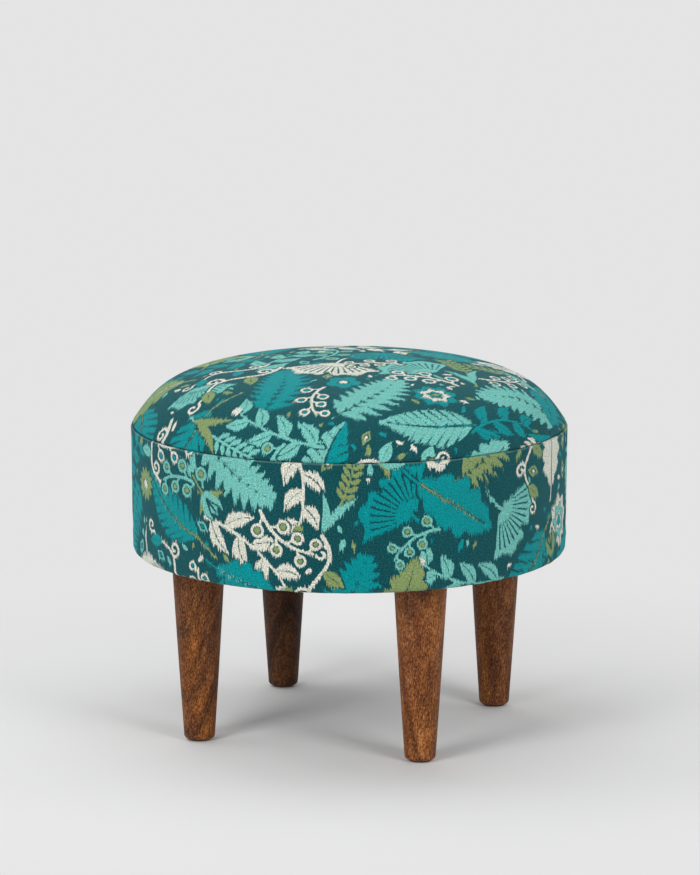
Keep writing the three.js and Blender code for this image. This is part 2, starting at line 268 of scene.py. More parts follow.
def makeCanvas():
    material, tree, surface = newMaterial(
        "printed_canvas", Roughness=0.9, Specular_IOR_Level=0.06, Sheen_Weight=0.16, Sheen_Roughness=0.5,
        Sheen_Tint=canvas["sheen"])
    flat = addNode(tree, "ShaderNodeUVMap", uv_map="flat").outputs[0]
    bundles = minus(tree, clothNoise(tree, flat, "bundles"), 0.5)
    strands = minus(tree, clothNoise(tree, flat, "strands"), 0.5)
    streak = plus(tree, bundles, times(tree, strands, canvas["strandShare"]))
    slipped = times(tree, streak, 2 * canvas["slip"])
    frayed = times(tree, streak, canvas["fray"])
    nubs = ramp(tree, clothNoise(tree, flat, "nubs", 2.0, 0.6), *canvas["nubShare"])
    colour = mixColour(tree, nubs, canvas["ground"], canvas["nub"])
    for ink in inkNames:
        shift = plus(tree, times(tree, slipped, painted(tree, ink + "Pull")), frayed)
        edge = calc(tree, "DIVIDE", plus(tree, painted(tree, ink), shift), canvas["softness"])
        colour = mixColour(tree, calc(tree, "ADD", edge, 0.5, clamp=True), colour, canvas[ink])
    woven = useGroup(tree, weave, Place=flat, Pitch=canvas["pitch"])["Height"]
    specks = useGroup(tree, mottle, Place=flat, Coarse=14.0, Fine=700.0, Patches=0.10, Specks=2.0)["Tone"]
    threads = ramp(tree, clothNoise(tree, flat, "threads"), *canvas["threadTone"])
    # painted shade in the seams and the join; where this attribute is below zero, a painted highlight along
    # the band's fold
    seamShadeAndHighlight = painted(tree, "seamShadeAndHighlight")
    # the weave's height also scales the colour, darker between the threads: painted shade
    tone = times(tree, times(tree, threads, specks), ramp(tree, woven, *canvas["weaveShade"]))
    tone = times(tree, tone, ramp(tree, seamShadeAndHighlight, *canvas["seamShadeTone"]))
    colour = mixColour(tree, ramp(tree, seamShadeAndHighlight, 0.0, -1.0), colour, canvas["worn"])
    colour = shaded(tree, colour, tone)
    dyed = ramp(tree, clothNoise(tree, flat, "dye", 2.0), *canvas["dyed"])
    colour = mixColour(tree, 1.0, colour, mixColour(tree, dyed, canvas["warm"], canvas["cool"]), "MULTIPLY")
    height = plus(tree, woven, times(tree, specks, canvas["speckShare"]))
    finishLook(tree, surface, colour, height, canvas["bumpDepth"])
    return material


# Legs: dark stained hardwood, with a painted sheen on its brightest flecks. Its growth rings run round an
# upright line between the legs and lean, more on the left, so that each leg shows another figure; each leg is
# scaled by a tone of its own, partly its wood and partly painted shade, most on the back leg.
stain = {
    "dark": (0.032, 0.0062, 0.0009, 1), "light": (0.318, 0.102, 0.018, 1), "ringSpan": (0.22, 0.70),
    "leanMiddle": 0.25, "leanAcross": -1.3, "wander": 0.022,
    "alongRing": (0.2, 0.06),           # how fast the figure changes across the tuffet and up the leg
    # noise cells to the metre across, and the share of that up the leg
    "wanders": (34.0, 0.4), "flecks": (900.0, 0.44), "zones": (78.0, 0.28), "drifts": (46.0, 0.22),
    "rings": 105.0, "streaks": 340.0, "pores": 1300.0, "slant": -0.2,
    # from and to of a noise, then the tones or shares that these turn into; zones are broad patches
    "fleckTone": (0.34, 0.66, 0.44, 1.50), "zoneTone": (0.32, 0.68, 0.72, 1.32),
    "streakTone": (0.3, 0.7, 0.86, 1.14), "dryShare": (0.50, 0.66, 0.0, 0.09), "drift": (0.36, 0.64),
    "roughness": (0.0, 1.0, 0.46, 0.62),
    "soak": (1.4, 2.4),                 # how much faster green and blue go than red where the stain soaked in
    # pale grey of a painted sheen on the brightest flecks, where raised grain would catch the light
    "dry": (0.45, 0.36, 0.27, 1),
    "golden": (1.03, 1.0, 0.78, 1), "rosy": (0.98, 1.0, 1.26, 1),
    "pore": (0.014, 0.0040, 0.0014, 1), "poreShare": 0.75,
    "bumpDepth": 0.00006,
}


def stainNoise(tree, place, cells, detail=2.0, roughness=0.5):
    scale, upwards = stain[cells]
    return noise(tree, scaled(tree, place, (1.0, 1.0, upwards)), scale, detail, roughness)


def growthRings(tree, place):
    x, y, z = splitUp(tree, place)
    level = scaled(tree, place, (1.0, 1.0, 0.0))
    across = addNode(tree, "ShaderNodeVectorMath", {0: level}, operation="LENGTH").outputs["Value"]
    lean = plus(tree, times(tree, x, stain["leanAcross"]), stain["leanMiddle"])
    ring = plus(tree, across, times(tree, z, lean))
    wander = minus(tree, stainNoise(tree, place, "wanders"), 0.5)
    ring = plus(tree, ring, times(tree, wander, stain["wander"]))
    grown = joinUp(tree, ring, times(tree, x, stain["alongRing"][0]), times(tree, z, stain["alongRing"][1]))
    return noise(tree, grown, stain["rings"], 4.0, 0.70)


def makeStainedWood():
    material, tree, surface = newMaterial("stained_hardwood", Specular_IOR_Level=0.20)
    place = objectPlace(tree)
    figure = ramp(tree, growthRings(tree, place), *stain["ringSpan"])
    colour = mixColour(tree, figure, stain["dark"], stain["light"])
    grain = useGroup(tree, woodGrain, Place=place, Streaks=stain["streaks"], Pores=stain["pores"],
                     Slant=stain["slant"])
    flecks = stainNoise(tree, place, "flecks", 2.0, 0.6)
    zones = stainNoise(tree, place, "zones", 2.0, 0.6)
    tone = ramp(tree, flecks, *stain["fleckTone"])
    tone = times(tree, tone, ramp(tree, zones, *stain["zoneTone"]))
    tone = times(tree, tone, ramp(tree, grain["Streak"], *stain["streakTone"]))
    green, blue = (calc(tree, "POWER", tone, power) for power in stain["soak"])
    soaked = addNode(tree, "ShaderNodeCombineColor", {0: tone, 1: green, 2: blue}).outputs[0]
    colour = mixColour(tree, 1.0, colour, soaked, "MULTIPLY")
    # painted sheen: pale grey mixed in at the brightest flecks
    colour = mixColour(tree, ramp(tree, flecks, *stain["dryShare"]), colour, stain["dry"])
    drift = ramp(tree, stainNoise(tree, place, "drifts", 1.0), *stain["drift"])
    colour = mixColour(tree, 1.0, colour, mixColour(tree, drift, stain["golden"], stain["rosy"]), "MULTIPLY")
    # each leg's tone, partly its wood and partly painted shade
    colour = shaded(tree, colour, painted(tree, "tone"))
    colour = mixColour(tree, times(tree, grain["Pore"], stain["poreShare"]), colour, stain["pore"])
    roughness = ramp(tree, grain["Streak"], *stain["roughness"])
    finishLook(tree, surface, colour, grain["Height"], stain["bumpDepth"], roughness)
    return material


# Frame: birch plywood boards and wall, softwood battens, all unfinished
rawWood = {
    "birch_plywood": {"pale": (0.66, 0.50, 0.30, 1), "dark": (0.50, 0.34, 0.17, 1), "ply": 0.0028},
    "bent_plywood": {"pale": (0.60, 0.44, 0.26, 1), "dark": (0.42, 0.28, 0.14, 1), "ply": 0.0400},
    "softwood": {"pale": (0.60, 0.42, 0.22, 1), "dark": (0.44, 0.26, 0.11, 1),
                 "streak": (0.70, 0.53, 0.31, 1)},
    "plyDepth": 0.00008, "softDepth": 0.0001,
}


def makePlywood(name):
    pale, dark, ply = rawWood[name].values()
    material, tree, surface = newMaterial(name, Roughness=0.72, Specular_IOR_Level=0.3)
    place = objectPlace(tree)
    turned = addNode(tree, "ShaderNodeVectorRotate", {"Vector": place, "Angle": math.pi / 2},
                     rotation_type="X_AXIS").outputs[0]
    grain = useGroup(tree, woodGrain, Place=turned, Figure=14.0, Streaks=260.0, Pores=900.0, Slant=0.03)
    face = mixColour(tree, ramp(tree, grain["Figure"], 0.3, 0.7), pale, dark)
    face = mixColour(tree, times(tree, grain["Pore"], 0.3), face, dark)
    plies = calc(tree, "SINE", times(tree, splitUp(tree, place)[2], 2 * math.pi / ply))
    edge = mixColour(tree, ramp(tree, plies, -0.25, 0.25), pale, dark)
    normal = addNode(tree, "ShaderNodeNewGeometry").outputs["Normal"]
    upright = calc(tree, "ABSOLUTE", splitUp(tree, normal)[2])
    colour = mixColour(tree, ramp(tree, upright, 0.4, 0.6), edge, face)
    finishLook(tree, surface, colour, grain["Height"], rawWood["plyDepth"])
    return material


def makeSoftwood():
    pale, dark, streaked = rawWood["softwood"].values()
    material, tree, surface = newMaterial("softwood", Roughness=0.7, Specular_IOR_Level=0.3)
    grain = useGroup(tree, woodGrain, Place=objectPlace(tree), Figure=60.0, Streaks=330.0, Pores=800.0,
                     Slant=0.02)
    colour = mixColour(tree, ramp(tree, grain["Figure"], 0.35, 0.65), pale, dark)
    colour = mixColour(tree, ramp(tree, grain["Streak"], 0.4, 0.8, 0.0, 0.5), colour, streaked)
    finishLook(tree, surface, colour, grain["Height"], rawWood["softDepth"])
    return material


# Zinc plate, with the thread turned into the sides of screws and bolts
zinc = {
    "colour": (0.62, 0.64, 0.66, 1), "roughness": (0.8, 1.2, 0.42, 0.24), "plateDepth": 0.00003,
    "threadDepth": 0.0004, "boltPitch": 0.00125, "screwPitch": 0.0018,
}


def makeZinc(name, pitch=None):
    material, tree, surface = newMaterial(name, Metallic=1.0)
    place = objectPlace(tree)
    tone = useGroup(tree, mottle, Place=place, Coarse=160.0, Fine=2400.0, Patches=0.35, Specks=0.2)["Tone"]
    colour = shaded(tree, zinc["colour"], tone)
    height, depth = tone, zinc["plateDepth"]
    if pitch:
        height = calc(tree, "SINE", times(tree, splitUp(tree, place)[2], 2 * math.pi / pitch))
        depth = zinc["threadDepth"]
    finishLook(tree, surface, colour, height, depth, ramp(tree, tone, *zinc["roughness"]))
    return material


# Foam, wadding, dust cloth and the glides' nylon. Cells are to the metre.
stuffs = {
    "foam": {"dark": (0.52, 0.43, 0.22, 1), "pale": (0.83, 0.75, 0.50, 1), "cells": 900.0, "depth": 0.0005},
    "wadding": {"dark": (0.70, 0.70, 0.68, 1), "pale": (0.90, 0.90, 0.88, 1), "cells": 420.0,
                "depth": 0.0012},
    "cloth": {"dark": (0.008, 0.008, 0.009, 1), "pale": (0.034, 0.034, 0.037, 1), "cells": 700.0,
              "dots": 420.0, "depth": 0.00015},
    "nylon": {"brown": (0.060, 0.027, 0.013, 1), "depth": 0.00004},
}


def makeFoamLook():
    plan = stuffs["foam"]
    material, tree, surface = newMaterial("open_foam", Roughness=0.95, Specular_IOR_Level=0.2)
    sockets = {"Vector": objectPlace(tree), "Scale": plan["cells"]}
    cell = addNode(tree, "ShaderNodeTexVoronoi", sockets).outputs["Distance"]
    colour = mixColour(tree, ramp(tree, cell, 0.1, 0.6), plan["dark"], plan["pale"])
    finishLook(tree, surface, colour, cell, plan["depth"])
    return material


def makeWaddingLook():
    plan = stuffs["wadding"]
    material, tree, surface = newMaterial("white_wadding", Roughness=1.0, Sheen_Weight=0.4,
                                          Specular_IOR_Level=0.2)
    tangle = noise(tree, objectPlace(tree), plan["cells"], 4.0, 0.7, 1.5)
    colour = mixColour(tree, ramp(tree, tangle, 0.3, 0.7), plan["dark"], plan["pale"])
    finishLook(tree, surface, colour, tangle, plan["depth"])
    return material


def makeDustCloth():
    plan = stuffs["cloth"]
    material, tree, surface = newMaterial("black_nonwoven", Roughness=0.9, Sheen_Weight=0.15,
                                          Specular_IOR_Level=0.25)
    place = objectPlace(tree)
    fibres = noise(tree, place, plan["cells"], 4.0, 0.75, 2.5)
    sockets = {"Vector": place, "Scale": plan["dots"], "Randomness": 0.15}
    dots = addNode(tree, "ShaderNodeTexVoronoi", sockets).outputs["Distance"]
    colour = mixColour(tree, ramp(tree, fibres, 0.3, 0.7), plan["dark"], plan["pale"])
    finishLook(tree, surface, colour, plus(tree, fibres, ramp(tree, dots, 0.1, 0.35)), plan["depth"])
    return material


def makeNylon():
    material, tree, surface = newMaterial("brown_nylon", Roughness=0.5)
    tone = useGroup(tree, mottle, Place=objectPlace(tree), Coarse=90.0, Fine=3000.0, Patches=0.3,
                    Specks=0.25)["Tone"]
    plan = stuffs["nylon"]
    finishLook(tree, surface, shaded(tree, plan["brown"], tone), tone, plan["depth"])
    return material


printedCanvas, stainedWood = makeCanvas(), makeStainedWood()
plywood, wallPly, softwood = makePlywood("birch_plywood"), makePlywood("bent_plywood"), makeSoftwood()
zincPlate, boltZinc = makeZinc("zinc_plate"), makeZinc("zinc_bolt", zinc["boltPitch"])
screwZinc = makeZinc("zinc_screw", zinc["screwPitch"])
foamLook, waddingLook, dustLook, nylon = makeFoamLook(), makeWaddingLook(), makeDustCloth(), makeNylon()
print("materials made")


# Print of the cover. Each motif gives signed distances in mm, positive inside, for the inks it is drawn in.
# The numbers in a motif are mm, angles, or shares of its length, width or radius.
printPlan = {
    "cell": 0.001,          # raster step of the flat cloth, in metres
    "margin": 0.001,        # cloth printed past each cut edge, in metres
    "depth": 6.0,           # distances are kept within this
    "moat": 1.7,            # ground left round a motif
    "ease": 2,              # cells that the slope of an edge is averaged over, each way
    "seedTop": 9, "seedBand": 23,
    "tries": 14,            # places looked at for each motif, the emptiest wins
    "strides": (5, 2), "strideFrom": 20.0,      # cells to a step while looking, for a reach over this or not
    "crowds": (0.30, 0.04), "crowdFrom": 30.0,  # share that may lie on other motifs, in the same way
}


def turnedTo(x, y, ox, oy, angle):
    c, s = math.cos(angle), math.sin(angle)
    return (x - ox) * c + (y - oy) * s, (y - oy) * c - (x - ox) * s


def polar(x, y):
    return np.hypot(x, y), np.arctan2(y, x)


# How far each value is from the nearest whole number
def offWhole(values):
    return np.abs(values - np.round(values))


def blade(x, y, length, width, bend=0.0, belly=0.45):
    t = np.clip(x / length, 0.0, 1.0)
    half = 0.5 * width * np.sin(np.pi * t ** (math.log(0.5) / math.log(belly)))
    past = np.maximum(0.0, np.maximum(-x, x - length))
    return 0.85 * (half - np.abs(y - bend * np.sin(np.pi * t))) - past


def stroke(x, y, path, startWidth, endWidth):
    field = np.full(np.shape(x), -1e3)
    steps = len(path) - 1
    for i in range(steps):
        (ax, ay), (bx, by) = path[i], path[i + 1]
        dx, dy = bx - ax, by - ay
        t = np.clip(((x - ax) * dx + (y - ay) * dy) / (dx * dx + dy * dy + 1e-9), 0.0, 1.0)
        width = startWidth + (endWidth - startWidth) * (i + t) / steps
        field = np.maximum(field, 0.5 * width - np.hypot(x - ax - t * dx, y - ay - t * dy))
    return field


def bow(length, sweep, steps):
    points, px, py = [(0.0, 0.0)], 0.0, 0.0
    for i in range(steps):
        heading = sweep * (i / steps - 0.5)
        px += length / steps * math.cos(heading)
        py += length / steps * math.sin(heading)
        points.append((px, py))
    return points


def curl(radius, turns, steps=22):
    points = []
    for i in range(steps + 1):
        a = 2 * math.pi * turns * i / steps
        r = radius * (1 - 0.8 * i / steps)
        points.append((radius - r * math.cos(a), r * math.sin(a)))
    return points


def headingAt(path, i):
    return math.atan2(path[i + 1][1] - path[i][1], path[i + 1][0] - path[i][0])


# Axes with x running out of a path at one of its points, turned by an angle from its heading
def offPath(x, y, path, i, turn):
    return turnedTo(x, y, *path[i], headingAt(path, i) + turn)


def paddleLeaf(x, y, ink="teal", rib="olive", half=None, length=108.0, width=50.0):
    x = x + 0.48 * length
    bend = 0.09 * length
    body = blade(x, y, length, width, bend, 0.42)
    t = np.clip(x / length, 0.0, 1.0)
    across = y - bend * np.sin(np.pi * t)
    spacing = 0.098 * length
    off = offWhole((x - 0.75 * np.abs(across)) / spacing) * spacing * 0.8
    vein = 0.45 + 1.6 * np.clip(2 * np.abs(across) / width - 0.3, 0.0, 1.0) - off
    vein = np.minimum(vein, np.minimum(x - 0.1 * length, 0.9 * length - x))
    midrib = np.minimum(1.7 * (1.05 - 0.7 * t) - np.abs(across), 0.93 * length - x)
    stem = stroke(x, y, [(-0.14 * length, -4.0), (-0.06 * length, -1.0), (1.0, 0.3)], 2.8, 2.4)
    layers = [(ink, np.maximum(body, stem))]
    if half:
        layers.append((half, np.minimum(body, across)))
    return layers + [("ground", np.minimum(vein, body + 1.0)), ("ground", midrib), (rib, midrib - 0.8)]


def fernFrond(x, y, ink="aqua", length=116.0, width=66.0, pairs=10):
    path = bow(length, 0.7, pairs + 1)
    x, y = x + 0.5 * length, y - 6.0
    field = stroke(x, y, path, 2.8, 0.9)
    for i in range(1, pairs + 1):
        t = i / (pairs + 1)
        reach = 0.5 * width * math.sin(math.pi * (0.12 + 0.88 * t) ** 0.85) ** 0.8 + 3.0
        for side in (-1, 1):
            px, py = offPath(x, y, path, i, side * (1.15 - 0.35 * t))
            field = np.maximum(field, blade(px, py, reach, 0.088 * length, side * -0.08 * reach, 0.4))
    return [(ink, field), ("ground", stroke(x, y, path[:-1], 1.6, 0.5))]


def willowBranch(x, y, ink="teal", bud="olive", length=112.0, width=58.0, leaves=7):
    path = bow(length, -0.9, 2 * leaves)
    x, y = x + 0.5 * length, y + 8.0
    layers = [(ink, stroke(x, y, path, 3.4, 2.0))]
    for i in range(leaves):
        side = 1 if i % 2 else -1
        reach = 0.62 * width * (1.0 - 0.35 * i / leaves)
        px, py = offPath(x, y, path, 2 * i + 1, side * 0.72)
        lift = side * 0.1 * reach
        leaf = blade(px, py, reach, 0.25 * width, lift, 0.4)
        line = 0.7 - np.abs(py - lift * np.sin(np.pi * np.clip(px / reach, 0, 1)))
        layers += [(ink, leaf), ("ground", np.minimum(leaf - 1.8, line))]
    ex, ey = path[-1]
    return layers + [(bud, 5.0 - np.hypot(x - ex, y - ey))]


def lobedLeaf(x, y, ink="olive", rib="cream", length=88.0, width=52.0, lobes=5):
    x = x + 0.5 * length
    t = np.clip(x / length, 0.0, 1.0)
    wave = 0.66 + 0.34 * np.abs(np.cos(np.pi * lobes * (t - 0.12 * np.abs(y) / width))) ** 0.7
    half = 0.5 * width * wave * np.sin(np.pi * t ** 0.9) ** 0.8
    body = 0.8 * (half - np.abs(y)) - np.maximum(0.0, np.maximum(-x, x - length))
    stem = stroke(x, y, [(-0.2 * length, 3.0), (-0.08 * length, 0.6), (2.0, 0.0)], 2.4, 2.2)
    line = np.minimum(1.5 - 0.8 * t - np.abs(y), np.minimum(x - 2.0, 0.9 * length - x))
    return [(ink, np.maximum(body, stem)), ("ground", line), (rib, line - 0.7)]


def fanLeaf(x, y, ink="cream", radius=46.0, spokes=13, spread=1.08):
    x = x + 0.4 * radius
    r, a = polar(x, y)
    edge = radius * (0.94 + 0.05 * np.cos(11 * a) - 0.26 * np.exp(-(a / 0.09) ** 2)) - r
    body = np.minimum(np.minimum(edge, (spread - np.abs(a)) * r * 0.9), r - 5.0)
    off = offWhole((a + spread) / (2 * spread) * spokes) * r * 2 * spread / spokes
    vein = np.minimum(0.2 + 0.022 * r - off, np.minimum(r - 0.34 * radius, radius * 0.8 - r))
    stem = stroke(x, y, [(-0.5 * radius, 6.0), (-0.22 * radius, 1.0), (6.0, 0.0)], 2.2, 2.6)
    return [(ink, np.maximum(body, stem)), ("ground", vein)]


def peony(x, y, ink="cream", second="aqua", heart="teal", radius=27.0):
    r, a = polar(x, y)
    outer = radius * (0.88 + 0.12 * np.cos(8 * a)) - r
    middle = radius * (0.62 + 0.08 * np.cos(7 * a + 0.6)) - r
    inner = radius * (0.34 + 0.06 * np.cos(5 * a + 1.1)) - r
    rim = np.minimum(r - 0.7 * radius, 0.97 * radius - r)
    split = np.minimum(0.7 - np.abs(np.sin(4 * a)) * r * 0.25, rim)
    return [(ink, outer), ("ground", middle), (second, middle - 1.5), ("ground", inner), (ink, inner - 1.3),
            ("ground", 0.2 * radius - r), (heart, 0.14 * radius - r), ("ground", split)]


def blossom(x, y, ink="cream", heart="teal", radius=15.0, petals=5):
    r, a = polar(x, y)
    edge = radius * (0.6 + 0.4 * np.abs(np.cos(0.5 * petals * a)) ** 0.55) - r
    line = 0.5 - np.abs(np.sin(0.5 * petals * a)) * r * 0.7
    line = np.minimum(line, np.minimum(r - 0.42 * radius, 0.74 * radius - r))
    return [(ink, 0.85 * edge), ("ground", line), ("ground", 0.36 * radius - r), (heart, 0.25 * radius - r)]


def daisy(x, y, ink="aqua", heart="olive", radius=21.0, petals=12):
    r, a = polar(x, y)
    off = offWhole(a / (2 * math.pi) * petals) * r * 2 * math.pi / petals
    half = 0.15 * radius * np.sin(math.pi * np.clip(r / radius, 0, 1) ** 1.2) + 0.5
    whole = np.maximum(np.minimum(half - off, radius - r), 0.34 * radius - r)
    return [(ink, whole), ("ground", 0.32 * radius - r), (heart, 0.25 * radius - r)]


def tulipBud(x, y, ink="olive", leaf="teal", height=32.0):
    x = x + 0.2 * height
    layers = []
    for side, share in ((1, 0.95), (-1, 0.8)):
        px, py = turnedTo(x, y, -4.0, 0.0, 0.95 * side)
        layers.append((leaf, blade(px, py, share * height, 0.26 * height, -3.0 * side, 0.4)))
    layers.append((leaf, stroke(x, y, [(-0.8 * height, 3.0), (-0.4 * height, 0.8), (2.0, 0.0)], 2.2, 2.2)))
    cup = 0.52 * height - np.hypot(x - 0.44 * height, y * 1.35)
    tips = np.abs(np.sin(1.5 * math.pi * np.abs(y) / (0.42 * height)))
    layers.append((ink, np.minimum(cup, 0.86 * height - 0.2 * height * tips - x)))
    for side in (-1, 0, 1):
        sx, sy = turnedTo(x, y, 0.12 * height, 0.0, side * 0.38)
        layers.append(("ground", np.minimum(1.2 - np.abs(sy), np.minimum(sx, 0.62 * height - sx))))
    return layers


def berrySprig(x, y, ink="cream", berry="teal", length=62.0, berries=6):
    path = bow(length, 1.1, 2 * berries)
    x = x + 0.5 * length
    layers = [(ink, stroke(x, y, path, 3.4, 2.2))]
    for i in range(berries):
        side = 1 if i % 2 else -1
        ax, ay = path[2 * i + 1]
        heading = headingAt(path, 2 * i + 1) + side * 0.9
        reach = 14.0 - 0.7 * i
        ex, ey = ax + reach * math.cos(heading), ay + reach * math.sin(heading)
        r = np.hypot(x - ex, y - ey) + 0.2 * i
        layers.append((ink, stroke(x, y, [(ax, ay), (ex, ey)], 2.2, 2.0)))
        layers += [(ink, 6.4 - r), ("ground", 3.9 - r), (berry, 3.0 - r)]
    return layers


def curlingVine(x, y, ink="cream", leaf="aqua", length=96.0):
    steps = 22
    x = x + 0.5 * length
    path = [(length * i / steps, 9.0 * math.sin(2.4 * math.pi * i / steps)) for i in range(steps + 1)]
    layers = [(ink, stroke(x, y, path, 4.2, 2.4))]
    for k, i in enumerate((3, 8, 13, 18)):
        side = 1 if k % 2 else -1
        px, py = turnedTo(x, y, *path[i], side * 1.0)
        if k % 2:
            layers.append((leaf, blade(px, py, 26.0, 13.0, 0.0, 0.45)))
            layers.append(("ground", np.minimum(0.6 - np.abs(py), np.minimum(px - 4.0, 20.0 - px))))
        else:
            layers.append((ink, stroke(px, side * py, curl(8.5, 1.15), 3.4, 2.6)))
    ex, ey = path[-1]
    return layers + [(ink, stroke(x - ex, y - ey, curl(7.5, 1.1), 2.8, 2.4))]


# Seed head: a stalk with grains in two rows, and two long leaves
def seedHead(x, y, ink="cream", leaf="teal", length=104.0, grains=6):
    x = x + 0.5 * length
    path = bow(length, 0.5, 2 * grains)
    layers = [(ink, stroke(x, y, path, 3.0, 2.0))]
    for side, start in ((1, 1), (-1, 2)):
        px, py = turnedTo(x, y, *path[start], side * 0.42)
        layers.append((leaf, blade(px, py, 0.46 * length, 9.0, -4.0 * side, 0.35)))
    for i in range(grains, 2 * grains):
        for side in (-1, 1):
            px, py = offPath(x, y, path, i, side * 0.8)
            layers.append((ink, blade(px - 1.5, py, 15.0, 5.4, 0.0, 0.5)))
    return layers


def lozenge(x, y, ink="olive", heart="cream", size=9.5):
    field = (1.0 - np.abs(x) / (1.35 * size) - np.abs(y) / (0.8 * size)) * 0.68 * size
    return [(ink, field), ("ground", field - 0.3 * size), (heart, field - 0.45 * size)]


def drop(x, y, ink="aqua", size=5.5):
    return [(ink, blade(x + size, y, 2.0 * size, 0.85 * size, 0.0, 0.4))]


# Each motif with half its reach in mm, how many there are to a square metre, its scales, its feathering
# and the ink sets that it takes in turn
motifs = [
    (paddleLeaf, 66, 34, (0.85, 1.15), 1.25, [
        {}, {"ink": "aqua", "rib": "cream"}, {"half": "aqua", "rib": "cream"}, {},
        {"ink": "aqua", "rib": "teal"}]),
    (fernFrond, 70, 30, (0.80, 1.10), 1.15, [{}, {"ink": "teal"}, {"ink": "olive"}, {"ink": "teal"}, {}]),
    (fanLeaf, 42, 40, (0.9, 1.25), 1.2, [{}, {"ink": "aqua"}, {"ink": "teal"}]),
    (willowBranch, 70, 34, (0.85, 1.1), 1.0, [
        {}, {"ink": "aqua", "bud": "cream"}, {"ink": "cream", "bud": "olive"}]),
    (lobedLeaf, 56, 40, (0.8, 1.1), 1.2, [
        {}, {"ink": "teal", "rib": "aqua"}, {"ink": "aqua", "rib": "cream"}, {"ink": "cream", "rib": "teal"},
        {"ink": "teal", "rib": "olive"}]),
    (seedHead, 66, 50, (0.85, 1.1), 0.9, [
        {}, {"ink": "olive", "leaf": "aqua"}, {"ink": "aqua", "leaf": "olive"}]),
    (peony, 29, 48, (0.85, 1.1), 1.0, [{}, {"ink": "teal", "second": "cream", "heart": "olive"}]),
    (curlingVine, 60, 95, (0.85, 1.1), 0.7, [{}, {"leaf": "olive"}, {"leaf": "teal"}]),
    (berrySprig, 44, 95, (0.9, 1.15), 0.7, [{}, {"berry": "olive"}, {"berry": "olive", "ink": "aqua"}]),
    (tulipBud, 36, 70, (0.85, 1.15), 0.9, [{}, {"ink": "aqua", "leaf": "olive"}, {"ink": "cream"}]),
    (daisy, 22, 64, (0.8, 1.1), 0.8, [{}, {"ink": "olive", "heart": "cream"}]),
    (blossom, 16, 110, (0.8, 1.2), 0.7, [
        {}, {"ink": "aqua", "heart": "cream"}, {"ink": "teal", "heart": "cream"}]),
    (lozenge, 14, 160, (0.6, 1.0), 0.6, [{}, {"ink": "aqua", "heart": "teal"}]),
    (drop, 7, 700, (0.6, 1.3), 0.6, [{}, {"ink": "olive"}, {"ink": "teal"}, {"ink": "cream"}]),
]


def newCloth(width, height):
    shape = (int(round(height / printPlan["cell"])), int(round(width / printPlan["cell"])))
    fields = {ink: np.full(shape, -printPlan["depth"]) for ink in inkNames}
    return {"fields": fields, "taken": np.zeros(shape, bool), "soften": np.ones(shape), "shape": shape}


def motifWindow(cloth, u, v, reach, stride):
    rows, columns = cloth["shape"]
    step = printPlan["cell"] * 1000
    v0, v1 = max(0, int((v - reach) / step)), min(rows, int((v + reach) / step) + 1)
    u0, u1 = max(0, int((u - reach) / step)), min(columns, int((u + reach) / step) + 1)
    rowIds, columnIds = np.arange(v0, v1, stride), np.arange(u0, u1, stride)
    x, y = np.meshgrid(columnIds * step - u, rowIds * step - v)
    return np.ix_(rowIds, columnIds), x, y


def drawMotif(draw, x, y, angle, scale, inks):
    px, py = turnedTo(x / scale, y / scale, 0.0, 0.0, angle)
    layers = [(ink, field * scale) for ink, field in draw(px, py, **inks)]
    return layers, np.maximum.reduce([field for ink, field in layers if ink != "ground"])


def byReach(reach, name):
    large, small = printPlan[name + "s"]
    return large if reach > printPlan[name + "From"] else small


def layMotif(cloth, rng, draw, reach, scale, feather, inks):
    rows, columns = cloth["shape"]
    step = printPlan["cell"] * 1000
    best = None
    for k in range(printPlan["tries"]):
        u = rng.uniform(0, columns * step)
        v = rng.uniform(0, rows * step)
        angle = rng.uniform(-math.pi, math.pi)
        where, x, y = motifWindow(cloth, u, v, reach * scale, byReach(reach, "stride"))
        inside = drawMotif(draw, x, y, angle, scale, inks)[1] > -1.0
        crowd = (inside & cloth["taken"][where]).sum() / max(1, inside.sum())
        if best is None or crowd < best[0]:
            best = (crowd, u, v, angle)
    crowd, u, v, angle = best
    if crowd > byReach(reach, "crowd"):
        return
    where, x, y = motifWindow(cloth, u, v, reach * scale + 4, 1)
    layers, whole = drawMotif(draw, x, y, angle, scale, inks)
    near = whole > -printPlan["moat"]
    for ink, field in [("ground", whole + printPlan["moat"])] + layers:
        for name, layer in cloth["fields"].items():
            old = layer[where]
            layer[where] = np.maximum(old, field) if name == ink else np.minimum(old, -field)
    cloth["taken"][where] |= near
    cloth["soften"][where] = np.where(near, feather, cloth["soften"][where])


# Averaged over a few cells each way, so that thin lines are pulled about less than the edges of broad shapes
def eased(field):
    reach = range(-printPlan["ease"], printPlan["ease"] + 1)
    for axis in (0, 1):
        field = np.mean([np.roll(field, k, axis) for k in reach], axis=0)
    return field


def printCloth(width, height, seed):
    cloth = newCloth(width, height)
    rng = np.random.default_rng(seed)
    for draw, reach, density, scales, feather, inkSets in motifs:
        for i in range(int(round(density * width * height))):
            layMotif(cloth, rng, draw, reach, rng.uniform(*scales), feather, inkSets[i % len(inkSets)])
    depth = printPlan["depth"]
    fields = {ink: np.clip(layer, -depth, depth) for ink, layer in cloth["fields"].items()}
    for ink in inkNames:
        slope = np.gradient(eased(fields[ink]), axis=0) / (printPlan["cell"] * 1000)
        fields[ink + "Pull"] = np.clip(slope, -1, 1) * cloth["soften"]
    shares = {ink: round(float((fields[ink] > 0).mean()), 2) for ink in inkNames}
    print("printed", round(width, 3), "by", round(height, 3), "m of cloth, inks", shares)
    return fields


